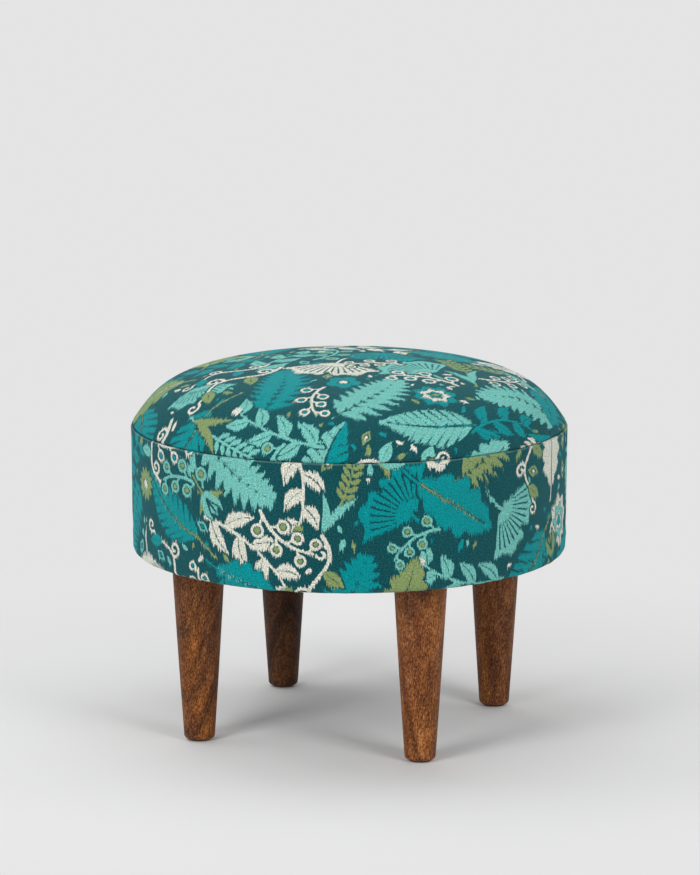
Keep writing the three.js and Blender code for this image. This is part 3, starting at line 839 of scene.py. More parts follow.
def sampled(field, u, v):
    cell = printPlan["cell"]
    column = np.clip(u / cell, 0, field.shape[1] - 1.001)
    row = np.clip(v / cell, 0, field.shape[0] - 1.001)
    c, r = column.astype(int), row.astype(int)
    fc, fr = column - c, row - r
    low = field[r, c] * (1 - fc) + field[r, c + 1] * fc
    high = field[r + 1, c] * (1 - fc) + field[r + 1, c + 1] * fc
    return low * (1 - fr) + high * fr


# Meshes
def newPiece(name, points, faces, material, smooth=40.0):
    mesh = bpy.data.meshes.new(name)
    mesh.from_pydata(np.asarray(points, float).tolist(), [], faces)
    mesh.materials.append(material)
    mesh.shade_smooth()
    if smooth:
        mesh.set_sharp_from_angle(angle=math.radians(smooth))
    piece = bpy.data.objects.new(name, mesh)
    bpy.context.scene.collection.objects.link(piece)
    return piece


def finishPiece(piece, slot, *replaced):
    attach(piece, "root")
    if replaced:
        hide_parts(*replaced)


def circle(columns):
    return 2 * math.pi * np.arange(columns) / columns


def roundPoints(radii, angles, heights):
    return np.stack([radii * np.cos(angles), radii * np.sin(angles), heights], axis=1)


def ringFaces(columns, upper, lower):
    k = np.arange(columns)
    after = (k + 1) % columns
    return np.stack([upper + k, lower + k, lower + after, upper + after], axis=1).tolist()


# A profile of (radius, height) turned round an upright axis. Where it doesn't reach the axis it closes on
# itself.
def turnedPiece(name, profile, columns, material, centre=(0.0, 0.0), smooth=40.0):
    points, faces, starts = [], [], []
    for radius, height in profile:
        starts.append(len(points))
        turned = 1 if radius < 1e-7 else columns
        row = roundPoints(radius, circle(turned), np.full(turned, height))
        points += (row + [centre[0], centre[1], 0.0]).tolist()
    loops = list(range(len(profile)))
    pairs = list(zip(loops, loops[1:]))
    if profile[0][0] > 1e-7:
        pairs.append((loops[-1], loops[0]))
    for upper, lower in pairs:
        a, b = starts[upper], starts[lower]
        if profile[upper][0] < 1e-7:
            faces += [(a, b + k, b + (k + 1) % columns) for k in range(columns)]
        elif profile[lower][0] < 1e-7:
            faces += [(a + k, b, a + (k + 1) % columns) for k in range(columns)]
        else:
            faces += ringFaces(columns, a, b)
    return newPiece(name, points, faces, material, smooth)


def arcPoints(centreRadius, centreHeight, radius, fromAngle, toAngle, steps):
    angles = np.linspace(math.radians(fromAngle), math.radians(toAngle), steps + 1)
    return [(centreRadius + radius * math.cos(a), centreHeight + radius * math.sin(a)) for a in angles]


def runAlong(line):
    return np.concatenate([[0.0], np.cumsum(np.hypot(*np.diff(line, axis=0).T))])


# Points of a line set evenly, with the distance run from its start: in a number of steps, or a spacing apart
def stepped(line, steps):
    run = runAlong(line)
    at = np.linspace(0.0, run[-1], steps + 1)
    return np.stack([np.interp(at, run, line[:, 0]), np.interp(at, run, line[:, 1])], axis=1), at


def evenly(profile, spacing):
    line = np.array(profile, float)
    return stepped(line, max(1, int(round(runAlong(line)[-1] / spacing))))


# Seat cover. Its outer radii and its heights come from the frame.
seat = {
    "thickness": 0.0014, "fit": 0.0003, "allowance": 0.010, "foldRadius": 0.00155, "taper": 0.0011,
    "corner": 0.006, "hem": 0.021, "rise": 0.0644, "dome": 0.461, "shoulder": 9.7, "rings": 140,
    "radius": bandHigh.x, "crownRadius": topHigh.x, "apexZ": topHigh.z, "allowanceZ": topLow.z,
    "hemZ": bandLow.z,
}
seat["columns"] = 6 * seat["rings"]
seat["seamZ"] = seat["allowanceZ"] + seat["allowance"]
seat["foldZ"] = seat["seamZ"] - seat["foldRadius"]

# Irregular waves round the axis: how high, in metres or as a share, then the seed, the fewest and the most to
# a turn, and how many are added up
ripples = {
    "topSeam": (0.00030, 21, 46, 120, 9), "topEdge": (0.0005, 22, 3, 9, 4),
    "bandSeam": (0.00022, 23, 46, 120, 9), "bandSlack": (0.00035, 24, 4, 14, 5),
    "hemGathers": (1.0, 25, 60, 110, 7), "foot": (0.0005, 26, 14, 70, 9), "worn": (0.3, 27, 30, 90, 8),
    "dustCover": (0.35, 31, 5, 16, 6),
}


def puckers(angles, name):
    height, seed, low, high, waves = ripples[name]
    rng = np.random.default_rng(seed)
    total = np.zeros_like(angles)
    for k in range(waves):
        share, turns, start = rng.uniform(0.4, 1.0), rng.integers(low, high), rng.uniform(0, 2 * math.pi)
        total += share * np.sin(turns * angles + start)
    return height * (total / np.abs(total).max())


def crownHeight(radius):
    share = radius / seat["crownRadius"]
    drop = seat["dome"] * share ** 2 + (1 - seat["dome"]) * share ** seat["shoulder"]
    return seat["apexZ"] - seat["rise"] * drop


def crownLine(depth=0.0, count=400):
    radii = seat["crownRadius"] * np.sin(0.5 * math.pi * np.linspace(0, 1, count))
    line = np.stack([radii, crownHeight(radii)], axis=1)
    slope = np.gradient(line, axis=0)
    slope /= np.hypot(*slope.T)[:, None]
    line += depth * np.stack([slope[:, 1], -slope[:, 0]], axis=1)
    line[0, 0] = 0.0
    return line[line[:, 0] <= seat["crownRadius"] - depth]


def bandRadiusAt(z):
    footZ = seat["hemZ"] + seat["corner"]
    return seat["radius"] - seat["taper"] * (seat["foldZ"] - z) / (seat["foldZ"] - footZ)


def bandSide(inset=0.0):
    footRadius, corner = seat["radius"] - seat["taper"], seat["corner"]
    side = arcPoints(footRadius - corner, seat["hemZ"] + corner, corner - inset, -90, 0, 8)
    return side + [(bandRadiusAt(seat["foldZ"]) - inset, seat["foldZ"])]


# Points on rings that each have six more than the last, and the triangles between them
def hexDisc(rings, firstIndex=0):
    ring, angle = [0], [0.0]
    for i in range(1, rings + 1):
        ring += [i] * (6 * i)
        angle += circle(6 * i).tolist()
    faces = []
    start = lambda i: firstIndex + (0 if i == 0 else 1 + 3 * i * (i - 1))
    for i in range(1, rings + 1):
        outer, inner = start(i), start(i - 1)
        for side in range(6):
            for k in range(i):
                a = outer + side * i + k
                b = outer + (side * i + k + 1) % (6 * i)
                c = inner + ((side * (i - 1) + k) % (6 * (i - 1)) if i > 1 else 0)
                faces.append((c, a, b))
                if k < i - 1:
                    faces.append((c, b, inner + (side * (i - 1) + k + 1) % (6 * (i - 1))))
    return np.array(ring), np.array(angle), faces


def rowFaces(rows, columns):
    return [face for j in range(rows - 1) for face in ringFaces(columns, j * columns, (j + 1) * columns)]


def addAttributes(piece, values):
    for name, data in values.items():
        attribute = piece.data.attributes.new(name, "FLOAT", "POINT")
        attribute.data.foreach_set("value", np.ascontiguousarray(data, np.float32))


def addFlatMap(piece, u, v, wrapWidth=None):
    mesh = piece.data
    corner = np.zeros(len(mesh.loops), np.int32)
    mesh.loops.foreach_get("vertex_index", corner)
    cu, cv = u[corner].copy(), v[corner]
    if wrapWidth:
        first = np.zeros(len(mesh.polygons), np.int32)
        total = np.zeros(len(mesh.polygons), np.int32)
        mesh.polygons.foreach_get("loop_start", first)
        mesh.polygons.foreach_get("loop_total", total)
        face = np.repeat(np.arange(len(first)), total)
        highest = np.maximum.reduceat(cu, first)
        cu[(highest[face] > 0.75 * wrapWidth) & (cu < 0.25 * wrapWidth)] += wrapWidth
    layer = mesh.uv_layers.new(name="flat")
    layer.data.foreach_set("uv", np.stack([cu, cv], axis=1).astype(np.float32).ravel())


def takeResult(piece):
    bpy.context.view_layer.update()
    made = bpy.data.meshes.new_from_object(piece.evaluated_get(bpy.context.evaluated_depsgraph_get()))
    piece.modifiers.clear()
    piece.data = made


# The cover is simulated as a coarse sheet, held along its seams and blown out by the padding. How far it
# moves along its normals is then carried over to the fine mesh.
bulge = {
    "rings": 40, "columns": 240, "rows": 24, "pressure": 4.0, "stiffness": 40.0, "bending": 0.5, "mass": 0.3,
    "slack": 0.004, "frames": 20, "quality": 6, "outwards": 0.0012, "inwards": 0.0003,
}


def blownOut(name, points, faces, normals, held):
    sheet = newPiece(name, points, faces, printedCanvas, smooth=None)
    sheet.vertex_groups.new(name="sewn").add(np.flatnonzero(held).tolist(), 1.0, "REPLACE")
    cloth = sheet.modifiers.new("cloth", "CLOTH")
    settings = cloth.settings
    settings.quality, settings.mass = bulge["quality"], bulge["mass"]
    for way in ("tension", "compression", "shear"):
        setattr(settings, way + "_stiffness", bulge["stiffness"])
    settings.bending_stiffness = bulge["bending"]
    settings.shrink_min = -bulge["slack"]
    settings.use_pressure, settings.uniform_pressure_force = True, bulge["pressure"]
    settings.effector_weights.gravity = 0
    settings.vertex_group_mass = "sewn"
    cloth.point_cache.frame_start, cloth.point_cache.frame_end = 1, bulge["frames"]
    for step in range(1, bulge["frames"] + 1):
        bpy.context.scene.frame_set(step)
    takeResult(sheet)
    place = np.zeros(3 * len(points))
    sheet.data.vertices.foreach_get("co", place)
    bpy.data.objects.remove(sheet)
    bpy.context.scene.frame_set(1)
    moved = ((place.reshape(-1, 3) - points) * normals).sum(axis=1)
    print(name, "moved from", round(moved.min() * 1000, 2), "to", round(moved.max() * 1000, 2), "mm")
    return moved


# The part that is even all round is left out, since the fitted shape already has it, and the rest is capped
def capped(grid):
    grid = grid - grid.mean(axis=1, keepdims=True)
    limit = np.where(grid > 0, bulge["outwards"], bulge["inwards"])
    return limit * np.tanh(grid / limit)


# Value of a grid between its rows and columns, smoothed by a cubic B-spline; its columns close round the axis
def splineAt(grid, row, angles):
    column = angles / (2 * math.pi) * bulge["columns"]
    r, c = np.floor(row).astype(int), np.floor(column).astype(int)
    shares = lambda f: ((1 - f) ** 3 / 6, (3 * f ** 3 - 6 * f ** 2 + 4) / 6,
                        (-3 * f ** 3 + 3 * f ** 2 + 3 * f + 1) / 6, f ** 3 / 6)
    total = 0.0
    for i, rowShare in enumerate(shares(row - r)):
        for j, columnShare in enumerate(shares(column - c)):
            cell = grid[np.clip(r - 1 + i, 0, len(grid) - 1), (c - 1 + j) % grid.shape[1]]
            total = total + rowShare * columnShare * cell
    return total


def lineNormals(line):
    normals = np.stack([-np.gradient(line[:, 1]), np.gradient(line[:, 0])], axis=1)
    return normals / np.hypot(*normals.T)[:, None]


# How far each point of a coarse sheet moves. The sheet is a line turned round the axis, in rows.
def blownRows(name, line, rows, row, angle, faces, held):
    at, count = np.linspace(0, len(line) - 1, rows + 1), np.arange(len(line))
    coarse = np.stack([np.interp(at, count, line[:, 0]), np.interp(at, count, line[:, 1])], axis=1)
    places, facing = coarse[row], lineNormals(coarse)[row]
    points = roundPoints(places[:, 0], angle, places[:, 1])
    return blownOut(name, points, faces, roundPoints(facing[:, 0], angle, facing[:, 1]), held)


def blownCrown(line):
    rings = bulge["rings"]
    ring, angle, faces = hexDisc(rings)
    moved = blownRows("cover_top_coarse", line, rings, ring, angle, faces, ring == rings)
    around = circle(bulge["columns"])
    return capped(np.array([np.interp(around, angle[ring == i], moved[ring == i], period=2 * math.pi)
                            for i in range(rings + 1)]))


def blownSide(line):
    rows, columns = bulge["rows"], bulge["columns"]
    row, angle = np.repeat(np.arange(rows + 1), columns), np.tile(circle(columns), rows + 1)
    held = (row == 0) | (row == rows)
    moved = blownRows("cover_band_coarse", line, rows, row, angle, rowFaces(rows + 1, columns), held)
    return capped(moved.reshape(rows + 1, columns))


# Top panel
crown = {
    "edgeRound": 0.0018, "rollAngle": -75, "rollSteps": 12, "tuck": 0.0012,
    "lip": 0.0078, "lipPower": 30,              # share that the edge swells out by, and how near to it
    "innerRings": 28, "allowanceSpacing": 0.0022,
    "lay": 0.12,                                # how far the warp is turned, in radians
    "rippleReach": 0.011, "rippleEnd": 0.004,   # in from the seam, and past it
    "rippleOut": 0.45,                          # share of a ripple's height that goes outwards too
    # painted shade in the seam: where it starts, in from the seam's edge, and how far it takes to grow full
    "seamShadeStart": 0.0010, "seamShadeWidth": 0.0012,
}


# The crown's line, pushed out a little towards its edge and rolled under into the seam, then the allowance
def crownProfile():
    line = crownLine()
    line[:, 0] *= 1 + crown["lip"] * (line[:, 0] / seat["crownRadius"]) ** crown["lipPower"]
    x, z = line[-1]
    turn = math.atan2(*(line[-1] - line[-2])[::-1])
    r = crown["edgeRound"]
    back = r * math.tan(0.5 * (turn + 0.5 * math.pi))
    start = np.array([x + back * math.cos(turn + math.pi), z + back * math.sin(turn + math.pi)])
    keep = line[np.hypot(*(line - line[-1]).T) > abs(back)]
    centre = start + r * np.array([math.sin(turn), -math.cos(turn)])
    angles = np.linspace(turn + 0.5 * math.pi, math.radians(crown["rollAngle"]), crown["rollSteps"])
    rounded = centre + r * np.stack([np.cos(angles), np.sin(angles)], axis=1)
    inner = seat["crownRadius"]
    allowance = np.array([[inner, seat["seamZ"] - crown["tuck"]], [inner, seat["allowanceZ"]]])
    return np.concatenate([keep, rounded]), allowance


def ringRow(columns, radius, height, run):
    return np.full(columns, radius), np.full(columns, height), np.full(columns, run), circle(columns)


# Rings out to the seam, rows down the allowance, then the inner face on fewer rings, joined to the cut edge
# by fans. Each point has its radius, height, run from the middle and angle.
def crownNet(line, at, below, belowRun):
    columns, inside = seat["columns"], crown["innerRings"]
    ring, angle, faces = hexDisc(seat["rings"])
    parts = [(*line[ring].T, at[ring], angle)]
    total = len(ring)
    for (radius, height), run in zip(below[1:], belowRun[1:]):
        faces += ringFaces(columns, total - columns, total)
        parts.append(ringRow(columns, radius, height, at[-1] + run))
        total += columns
    innerLine, innerAt = stepped(crownLine(seat["thickness"]), inside)
    innerRing, innerAngle, innerFaces = hexDisc(inside, total)
    faces += [face[::-1] for face in innerFaces]
    parts.append((*innerLine[innerRing].T, innerAt[innerRing], innerAngle))
    count, footRow, cutEdge = 6 * inside, total + len(innerRing), total - columns
    innerRadius = seat["crownRadius"] - seat["thickness"]
    parts.append(ringRow(count, innerRadius, seat["allowanceZ"], at[-1] + belowRun[-1]))
    faces += ringFaces(count, footRow, footRow - count)
    share = columns // count
    for j in range(count):
        here, after = footRow + j, footRow + (j + 1) % count
        fan = [cutEdge + k % columns for k in range(j * share, (j + 1) * share + 1)]
        faces += [(a, here, b) for a, b in zip(fan, fan[1:])]
        faces.append((fan[-1], here, after))
    return [np.concatenate(part) for part in zip(*parts)], faces


def makeCoverTop():
    outline, allowance = crownProfile()
    line, at = stepped(outline, seat["rings"])
    below, belowRun = evenly(np.concatenate([outline[-1:], allowance]), crown["allowanceSpacing"])
    (r, z, s, a), faces = crownNet(line, at, below, belowRun)
    edge = at[-1]
    fade = np.exp(-((edge - s) / crown["rippleReach"]) ** 2) * (s < edge + crown["rippleEnd"])
    wave = puckers(a, "topSeam") * fade + puckers(a, "topEdge") * (s / edge) ** 2 * fade
    out = splineAt(blownCrown(line), np.clip(s / edge, 0, 1) * bulge["rings"], a) * (s < edge)
    facing = lineNormals(line)
    outR = out * np.interp(s, at, facing[:, 0]) + crown["rippleOut"] * wave
    points = roundPoints(r + outR, a, z + out * np.interp(s, at, facing[:, 1]) + wave)
    piece = newPiece("cover_top_cloth", points, faces, printedCanvas, smooth=60.0)
    half = edge + belowRun[-1] + printPlan["margin"]
    fields = printCloth(2 * half, 2 * half, printPlan["seedTop"])
    u, v = s * np.cos(a + crown["lay"]) + half, s * np.sin(a + crown["lay"]) + half
    values = {name: sampled(field, u, v) for name, field in fields.items()}
    # painted shade into the seam
    values["seamShadeAndHighlight"] = np.clip((s - edge + crown["seamShadeStart"]) / crown["seamShadeWidth"], 0, 1)
    addAttributes(piece, values)
    addFlatMap(piece, u, v)
    finishPiece(piece, "cover_fabric", "cover_top")


makeCoverTop()


# Side band, a strip joined at the back, rolled over into the seam and turned in under the drum
band = {
    "spacing": 0.0017, "skin": 0.003, "sideSteps": 60,
    # the join's crease share is painted shade down the join, from joinLow above the hem
    "joinAngle": 110.0, "joinDepth": 0.0006, "joinRise": 0.0003, "joinShade": 0.75, "joinLow": 0.004,
    "footEdge": 0.002, "footBlend": 0.006,      # where the sideways shaping comes in above the bottom edge
    "seamReach": 0.010, "slackHeight": 0.12, "footReach": 0.012,
    "gatherFrom": 0.004, "gatherBlend": 0.008,  # in from the foot's radius
    "gatherHidden": 0.0001, "gatherShown": 0.0007, "shownFrom": 0.2055, "shownBlend": 0.002,
    # painted shade about the fold: how far it reaches, and a weight on the height off the fold
    "seamShadeReach": 0.0022, "seamShadeFlat": 0.6,
    # a painted highlight, a pale line along the fold: how far back from the outer face's end, how wide and
    # how strong
    "wornAt": 0.0118, "wornWidth": 0.0013, "wornShare": 0.42,
}


# Out from the hem's edge, up the side, over the fold and down into the seam, then back inside
def bandProfile():
    fold, foldZ, hemR = seat["foldRadius"], seat["foldZ"], seat["radius"] - seat["hem"]
    foldR = seat["radius"] - fold
    insideR, insideZ = foldR - 0.5 * seat["fit"], foldZ + 0.5 * seat["fit"]
    outer = [(hemR, seat["hemZ"])] + bandSide()
    outer += arcPoints(foldR, foldZ, fold, 0, 180, 8)[1:] + [(foldR - fold, seat["allowanceZ"])]
    inner = [(insideR, seat["allowanceZ"]), (insideR, foldZ), (foldR, insideZ)]
    inner += bandSide(seat["thickness"])[::-1] + [(hemR, seat["hemZ"] + seat["thickness"])]
    outerLine, outerRun = evenly(outer, band["spacing"])
    run = np.concatenate([outerRun, outerRun[-1] * np.linspace(1, 0, len(inner))])
    return np.concatenate([outerLine, inner]), run, len(outerLine)


def shapedBand(r, z, a, column, isOuter):
    hemZ, foldZ = seat["hemZ"], seat["foldZ"]
    upright = np.clip((z - hemZ - band["footEdge"]) / band["footBlend"], 0, 1)
    besideJoin = (column == 1) | (column == seat["columns"] - 1)
    groove = np.select([column == 0, besideJoin], [-band["joinDepth"], band["joinRise"]], 0.0)
    drawnIn = np.exp(-((z - foldZ) / band["seamReach"]) ** 2) * puckers(a, "bandSeam")
    slack = puckers(a, "bandSlack") * np.sin(np.pi * np.clip((z - hemZ) / band["slackHeight"], 0, 1))
    sideZ = np.linspace(foldZ, hemZ + seat["corner"], band["sideSteps"])
    blown = blownSide(np.stack([bandRadiusAt(sideZ), sideZ], axis=1))
    down = np.clip((foldZ - z) / (foldZ - sideZ[-1]), 0, 1) * bulge["rows"]
    out = splineAt(blown, down, a) * (np.abs(r - bandRadiusAt(z)) < band["skin"])
    r = r + upright * (groove * isOuter * (r > seat["radius"] - band["skin"]) + drawnIn + slack) + out
    # the turned-in hem is gathered, most at its inner edge
    inwards = (seat["radius"] - seat["taper"] - band["gatherFrom"] - r) / band["gatherBlend"]
    depthIn = np.clip(inwards, 0, 1) * (z < hemZ + band["skin"])
    shown = np.clip((r - band["shownFrom"]) / band["shownBlend"], 0, 1)
    gather = np.abs(puckers(a, "hemGathers")) ** 0.7 - 0.4
    z = z - depthIn * (band["gatherHidden"] + band["gatherShown"] * shown) * gather
    z = z + puckers(a, "foot") * np.exp(-((z - hemZ) / band["footReach"]) ** 2) * (1 - depthIn)
    return r, z


# Painted shade in the seam and the join, and a painted highlight, a pale line along the fold
def bandShadeAndHighlight(r, z, fromEdge, a, column, isOuter):
    foldR = seat["radius"] - 2 * seat["foldRadius"]
    off = np.abs(r - foldR) + band["seamShadeFlat"] * np.abs(z - seat["foldZ"])
    seamShadeAndHighlight = np.clip(1 - off / band["seamShadeReach"], 0, 1) ** 0.8
    seamShadeAndHighlight = np.maximum(seamShadeAndHighlight, band["joinShade"] * (column == 0) * (z > seat["hemZ"] + band["joinLow"]))
    # painted highlight along the fold
    worn = np.clip(1 - np.abs(fromEdge + band["wornAt"]) / band["wornWidth"], 0, 1)
    return seamShadeAndHighlight - band["wornShare"] * worn * (0.7 + puckers(a, "worn")) * isOuter


def makeCoverBand():
    profile, run, outerRows = bandProfile()
    columns, rows, edge = seat["columns"], len(profile), run[outerRows - 1]
    r, z = np.repeat(profile, columns, axis=0).T
    s, column = np.repeat(run, columns), np.tile(np.arange(columns), rows)
    a = math.radians(band["joinAngle"]) + np.tile(circle(columns), rows)
    isOuter = np.repeat(np.arange(rows) < outerRows, columns)
    r, z = shapedBand(r, z, a, column, isOuter)
    faces = []
    for j in range(rows):
        faces += ringFaces(columns, ((j + 1) % rows) * columns, j * columns)
    piece = newPiece("cover_band_cloth", roundPoints(r, a, z), faces, printedCanvas, smooth=60.0)
    width = 2 * math.pi * seat["radius"]
    fields = printCloth(width, edge + 2 * printPlan["margin"], printPlan["seedBand"])
    u = width * column / columns
    values = {name: sampled(field, u, s) for name, field in fields.items()}
    values["seamShadeAndHighlight"] = bandShadeAndHighlight(r, z, s - edge, a, column, isOuter)
    addAttributes(piece, values)
    addFlatMap(piece, u, s, width)
    finishPiece(piece, "cover_fabric", "cover_band")


makeCoverBand()
print("cover made")


# Foam and wadding under the cover
padding = {"columns": 180, "wadding": 0.004, "ledge": 0.0003, "spacing": 0.004}


def makeTopPads(gap):
    foamZ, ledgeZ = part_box("top_foam")[0].z, seat["allowanceZ"] - padding["ledge"]
    foam = evenly(crownLine(gap + padding["wadding"] + seat["fit"]), padding["spacing"])[0].tolist()
    foam += [(foam[-1][0], ledgeZ), (bandRadiusAt(ledgeZ) - gap, ledgeZ)]
    foam += [(bandRadiusAt(foamZ) - gap, foamZ), (0.0, foamZ)]
    topPad = turnedPiece("top_foam_pad", foam, padding["columns"], foamLook)
    finishPiece(topPad, "foam", "top_foam")

    outer = evenly(crownLine(gap), padding["spacing"])[0].tolist()
    inner = evenly(crownLine(gap + padding["wadding"]), padding["spacing"])[0].tolist()
    layer = outer + [(outer[-1][0], seat["allowanceZ"]), (inner[-1][0], seat["allowanceZ"])] + inner[::-1]
    wadding = turnedPiece("top_wadding_pad", layer, padding["columns"], waddingLook)
    finishPiece(wadding, "wadding", "top_wadding")


def makeSidePad(gap):
    low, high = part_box("side_foam")
    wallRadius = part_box("drum_wall")[1].x + seat["fit"]
    side = [(wallRadius, high.z), (bandRadiusAt(high.z) - gap, high.z)]
    side += bandSide(gap)[:-1][::-1] + [(wallRadius, low.z)]
    side = [point for point in side if point[1] >= low.z - 1e-6 or point[0] == wallRadius]
    sidePad = turnedPiece("side_foam_pad", side, padding["columns"], foamLook)
    finishPiece(sidePad, "foam", "side_foam")


makeTopPads(seat["thickness"] + seat["fit"])
makeSidePad(seat["thickness"] + seat["fit"])
print("padding made")


# Legs and the glides under them
legs = {
    "length": 0.178, "footRadius": 0.0152, "topRadius": 0.026, "footRound": 0.0034, "topRound": 0.0006,
    "swell": 0.0003, "columns": 96, "sideSteps": 26, "boltHole": 0.0043, "boltDepth": 0.0363,
    "pinHole": 0.0015, "pinDepth": 0.012,
    # each leg's tone is partly its wood and partly painted shade; the second, the back leg, is darkest
    "tonesAndShade": (0.80, 0.31, 0.90, 1.18),
}
glide = {
    "radius": 0.0106, "thickness": 0.0015, "bevel": 0.0005, "topRound": 0.0004, "columns": 48,
    "pin": 0.0012, "pinLength": 0.012, "pinTip": 0.002,
}


def legProfile(footZ):
    foot, footRound = legs["footRadius"], legs["footRound"]
    top, topRound = legs["topRadius"], legs["topRound"]
    length, hole = legs["length"], legs["boltHole"]
    profile = [(0.0, length - legs["boltDepth"]), (hole, length - legs["boltDepth"]), (hole, length)]
    profile += arcPoints(top - topRound, length - topRound, topRound, 90, 0, 4)
    for i in range(1, legs["sideSteps"]):
        share = 1 - i / legs["sideSteps"]
        swell = legs["swell"] * math.sin(math.pi * share)
        height = footRound + (length - topRound - footRound) * share
        profile.append((foot + (top - foot) * share + swell, height))
    profile += arcPoints(foot - footRound, footRound, footRound, 0, -90, 8)
    profile += [(legs["pinHole"], 0.0), (legs["pinHole"], legs["pinDepth"]), (0.0, legs["pinDepth"])]
    return [(radius, height + footZ) for radius, height in profile]


def glideProfile():
    radius, thickness, bevel, edge = (glide[key] for key in ("radius", "thickness", "bevel", "topRound"))
    pinTop = thickness + glide["pinLength"]
    profile = [(0.0, pinTop), (glide["pin"], pinTop - glide["pinTip"]), (glide["pin"], thickness)]
    profile += arcPoints(radius - edge, thickness - edge, edge, 90, 0, 2) + [(radius, bevel)]
    return profile + arcPoints(radius - bevel, bevel, bevel, 0, -90, 4)[1:] + [(0.0, 0.0)]


def boxMiddle(node):
    low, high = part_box(node)
    return (low.x + high.x) / 2, (low.y + high.y) / 2


legPlaces = [boxMiddle(f"leg_{i}") for i in range(1, 5)]


def makeLegs():
    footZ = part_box("leg_1")[0].z
    for i, centre in enumerate(legPlaces, 1):
        leg = turnedPiece(f"turned_leg_{i}", legProfile(footZ), legs["columns"], stainedWood, centre)
        addAttributes(leg, {"tone": np.full(len(leg.data.vertices), legs["tonesAndShade"][i - 1])})
        finishPiece(leg, "leg_wood", f"leg_{i}")
        foot = turnedPiece(f"nylon_glide_{i}", glideProfile(), glide["columns"], nylon, centre)
        finishPiece(foot, "glide", f"foot_glide_{i}")


makeLegs()
print("legs made")


# Dust cover: thin black cloth over the underside, its edge under the hem, a little slack between the staples
dust = {
    "thickness": 0.0008, "columns": 336, "staples": 56, "stapleRadius": 0.2000,
    "middle": 0.006, "rows": (30, 5, 8), "innerGap": 0.003, "outerGap": 0.0015,
    "stepFrom": 0.0058, "stepTo": 0.0003,       # where it steps down under the hem, in from the hem's edge
    "sag": 0.0022, "sagRadius": 0.185, "rippleFull": 0.1,
    "pull": 0.0005, "pullFrom": 0.165, "pullBlend": 0.02, "pullEnd": 0.002, "pullFade": 0.006,
    "legClear": 0.003, "legBlend": 0.03,
    "scallop": 0.0007, "scallopDepth": 0.006,
}


def dustLine(innerZ, outerZ, radius):
    hemInner = seat["radius"] - seat["hem"]
    stepIn, stepOut = hemInner - dust["stepFrom"], hemInner - dust["stepTo"] - dust["thickness"]
    spans = ((dust["middle"], stepIn - dust["innerGap"]), (stepIn, stepOut),
             (stepOut + dust["outerGap"], radius))
    radii = np.concatenate([np.linspace(*span, rows) for span, rows in zip(spans, dust["rows"])])
    return radii, np.interp(radii, [0, stepIn, stepOut, radius], [innerZ, innerZ, outerZ, outerZ]), stepIn


# It hangs a little, least by the legs and at the staples, and its edge is drawn in between the staples
def shapedDustCover(r, z, a, radius, stepIn):
    between = 0.5 - 0.5 * np.cos(dust["staples"] * a)
    fromLeg = np.min([np.hypot(r * np.cos(a) - x, r * np.sin(a) - y) for x, y in legPlaces], axis=0)
    free = np.clip((fromLeg - legs["topRadius"] - dust["legClear"]) / dust["legBlend"], 0, 1)
    pull = dust["pull"] * between * np.clip((r - dust["pullFrom"]) / dust["pullBlend"], 0, 1)
    pull = pull * np.clip((stepIn + dust["pullEnd"] - r) / dust["pullFade"], 0, 1)
    waves = 1 + puckers(a, "dustCover") * np.clip(r / dust["rippleFull"], 0, 1)
    hang = dust["sag"] * np.clip(1 - (r / dust["sagRadius"]) ** 2, 0, 1) * waves
    edge = np.clip((r - radius + dust["scallopDepth"]) / dust["scallopDepth"], 0, 1)
    return r - dust["scallop"] * between * edge, z - (pull + hang) * free * free


def makeDustCover():
    low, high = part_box("dust_cover")
    columns, thickness = dust["columns"], dust["thickness"]
    radius, innerZ = high.x, high.z - thickness
    radii, heights, stepIn = dustLine(innerZ, low.z, radius)
    a = np.tile(circle(columns), len(radii))
    r, z = shapedDustCover(np.repeat(radii, columns), np.repeat(heights, columns), a, radius, stepIn)
    under = roundPoints(r, a, z).reshape(len(radii), columns, 3)
    rows = np.concatenate([under + [0, 0, thickness], under[::-1]])
    centre = under[0, :, 2].mean()
    points = np.concatenate([rows.reshape(-1, 3), [[0, 0, centre + thickness], [0, 0, centre]]])
    last, topMid = (len(rows) - 1) * columns, len(points) - 2
    faces = rowFaces(len(rows), columns)
    faces += [(topMid, k, (k + 1) % columns) for k in range(columns)]
    faces += [(topMid + 1, last + (k + 1) % columns, last + k) for k in range(columns)]
    cloth = newPiece("dust_cover_cloth", points, faces, dustLook)
    cutHoles(cloth, legPlaces, legs["boltHole"], innerZ)
    finishPiece(cloth, "dust_cloth", "dust_cover")


def cutHoles(piece, places, radius, height, reach=0.01):
    top, bottom = height + reach, height - reach
    rod = [(0, top), (radius, top), (radius, bottom), (0, bottom)]
    cutters = [turnedPiece("hole_cutter", rod, 24, dustLook, place, smooth=None) for place in places]
    for cutter in cutters:
        cut = piece.modifiers.new("hole", "BOOLEAN")
        cut.object, cut.operation, cut.solver = cutter, "DIFFERENCE", "EXACT"
    takeResult(piece)
    for cutter in cutters:
        bpy.data.objects.remove(cutter)


makeDustCover()
print("dust cover made")


# Staples: one wire staple, repeated round a circle, each a little off its place
staple = {
    "crown": 0.0095, "leg": 0.0055, "wire": 0.0005, "wireSides": 8, "lift": 0.00035,
    "seed": 4, "skew": 0.22, "shift": 0.0012,
}


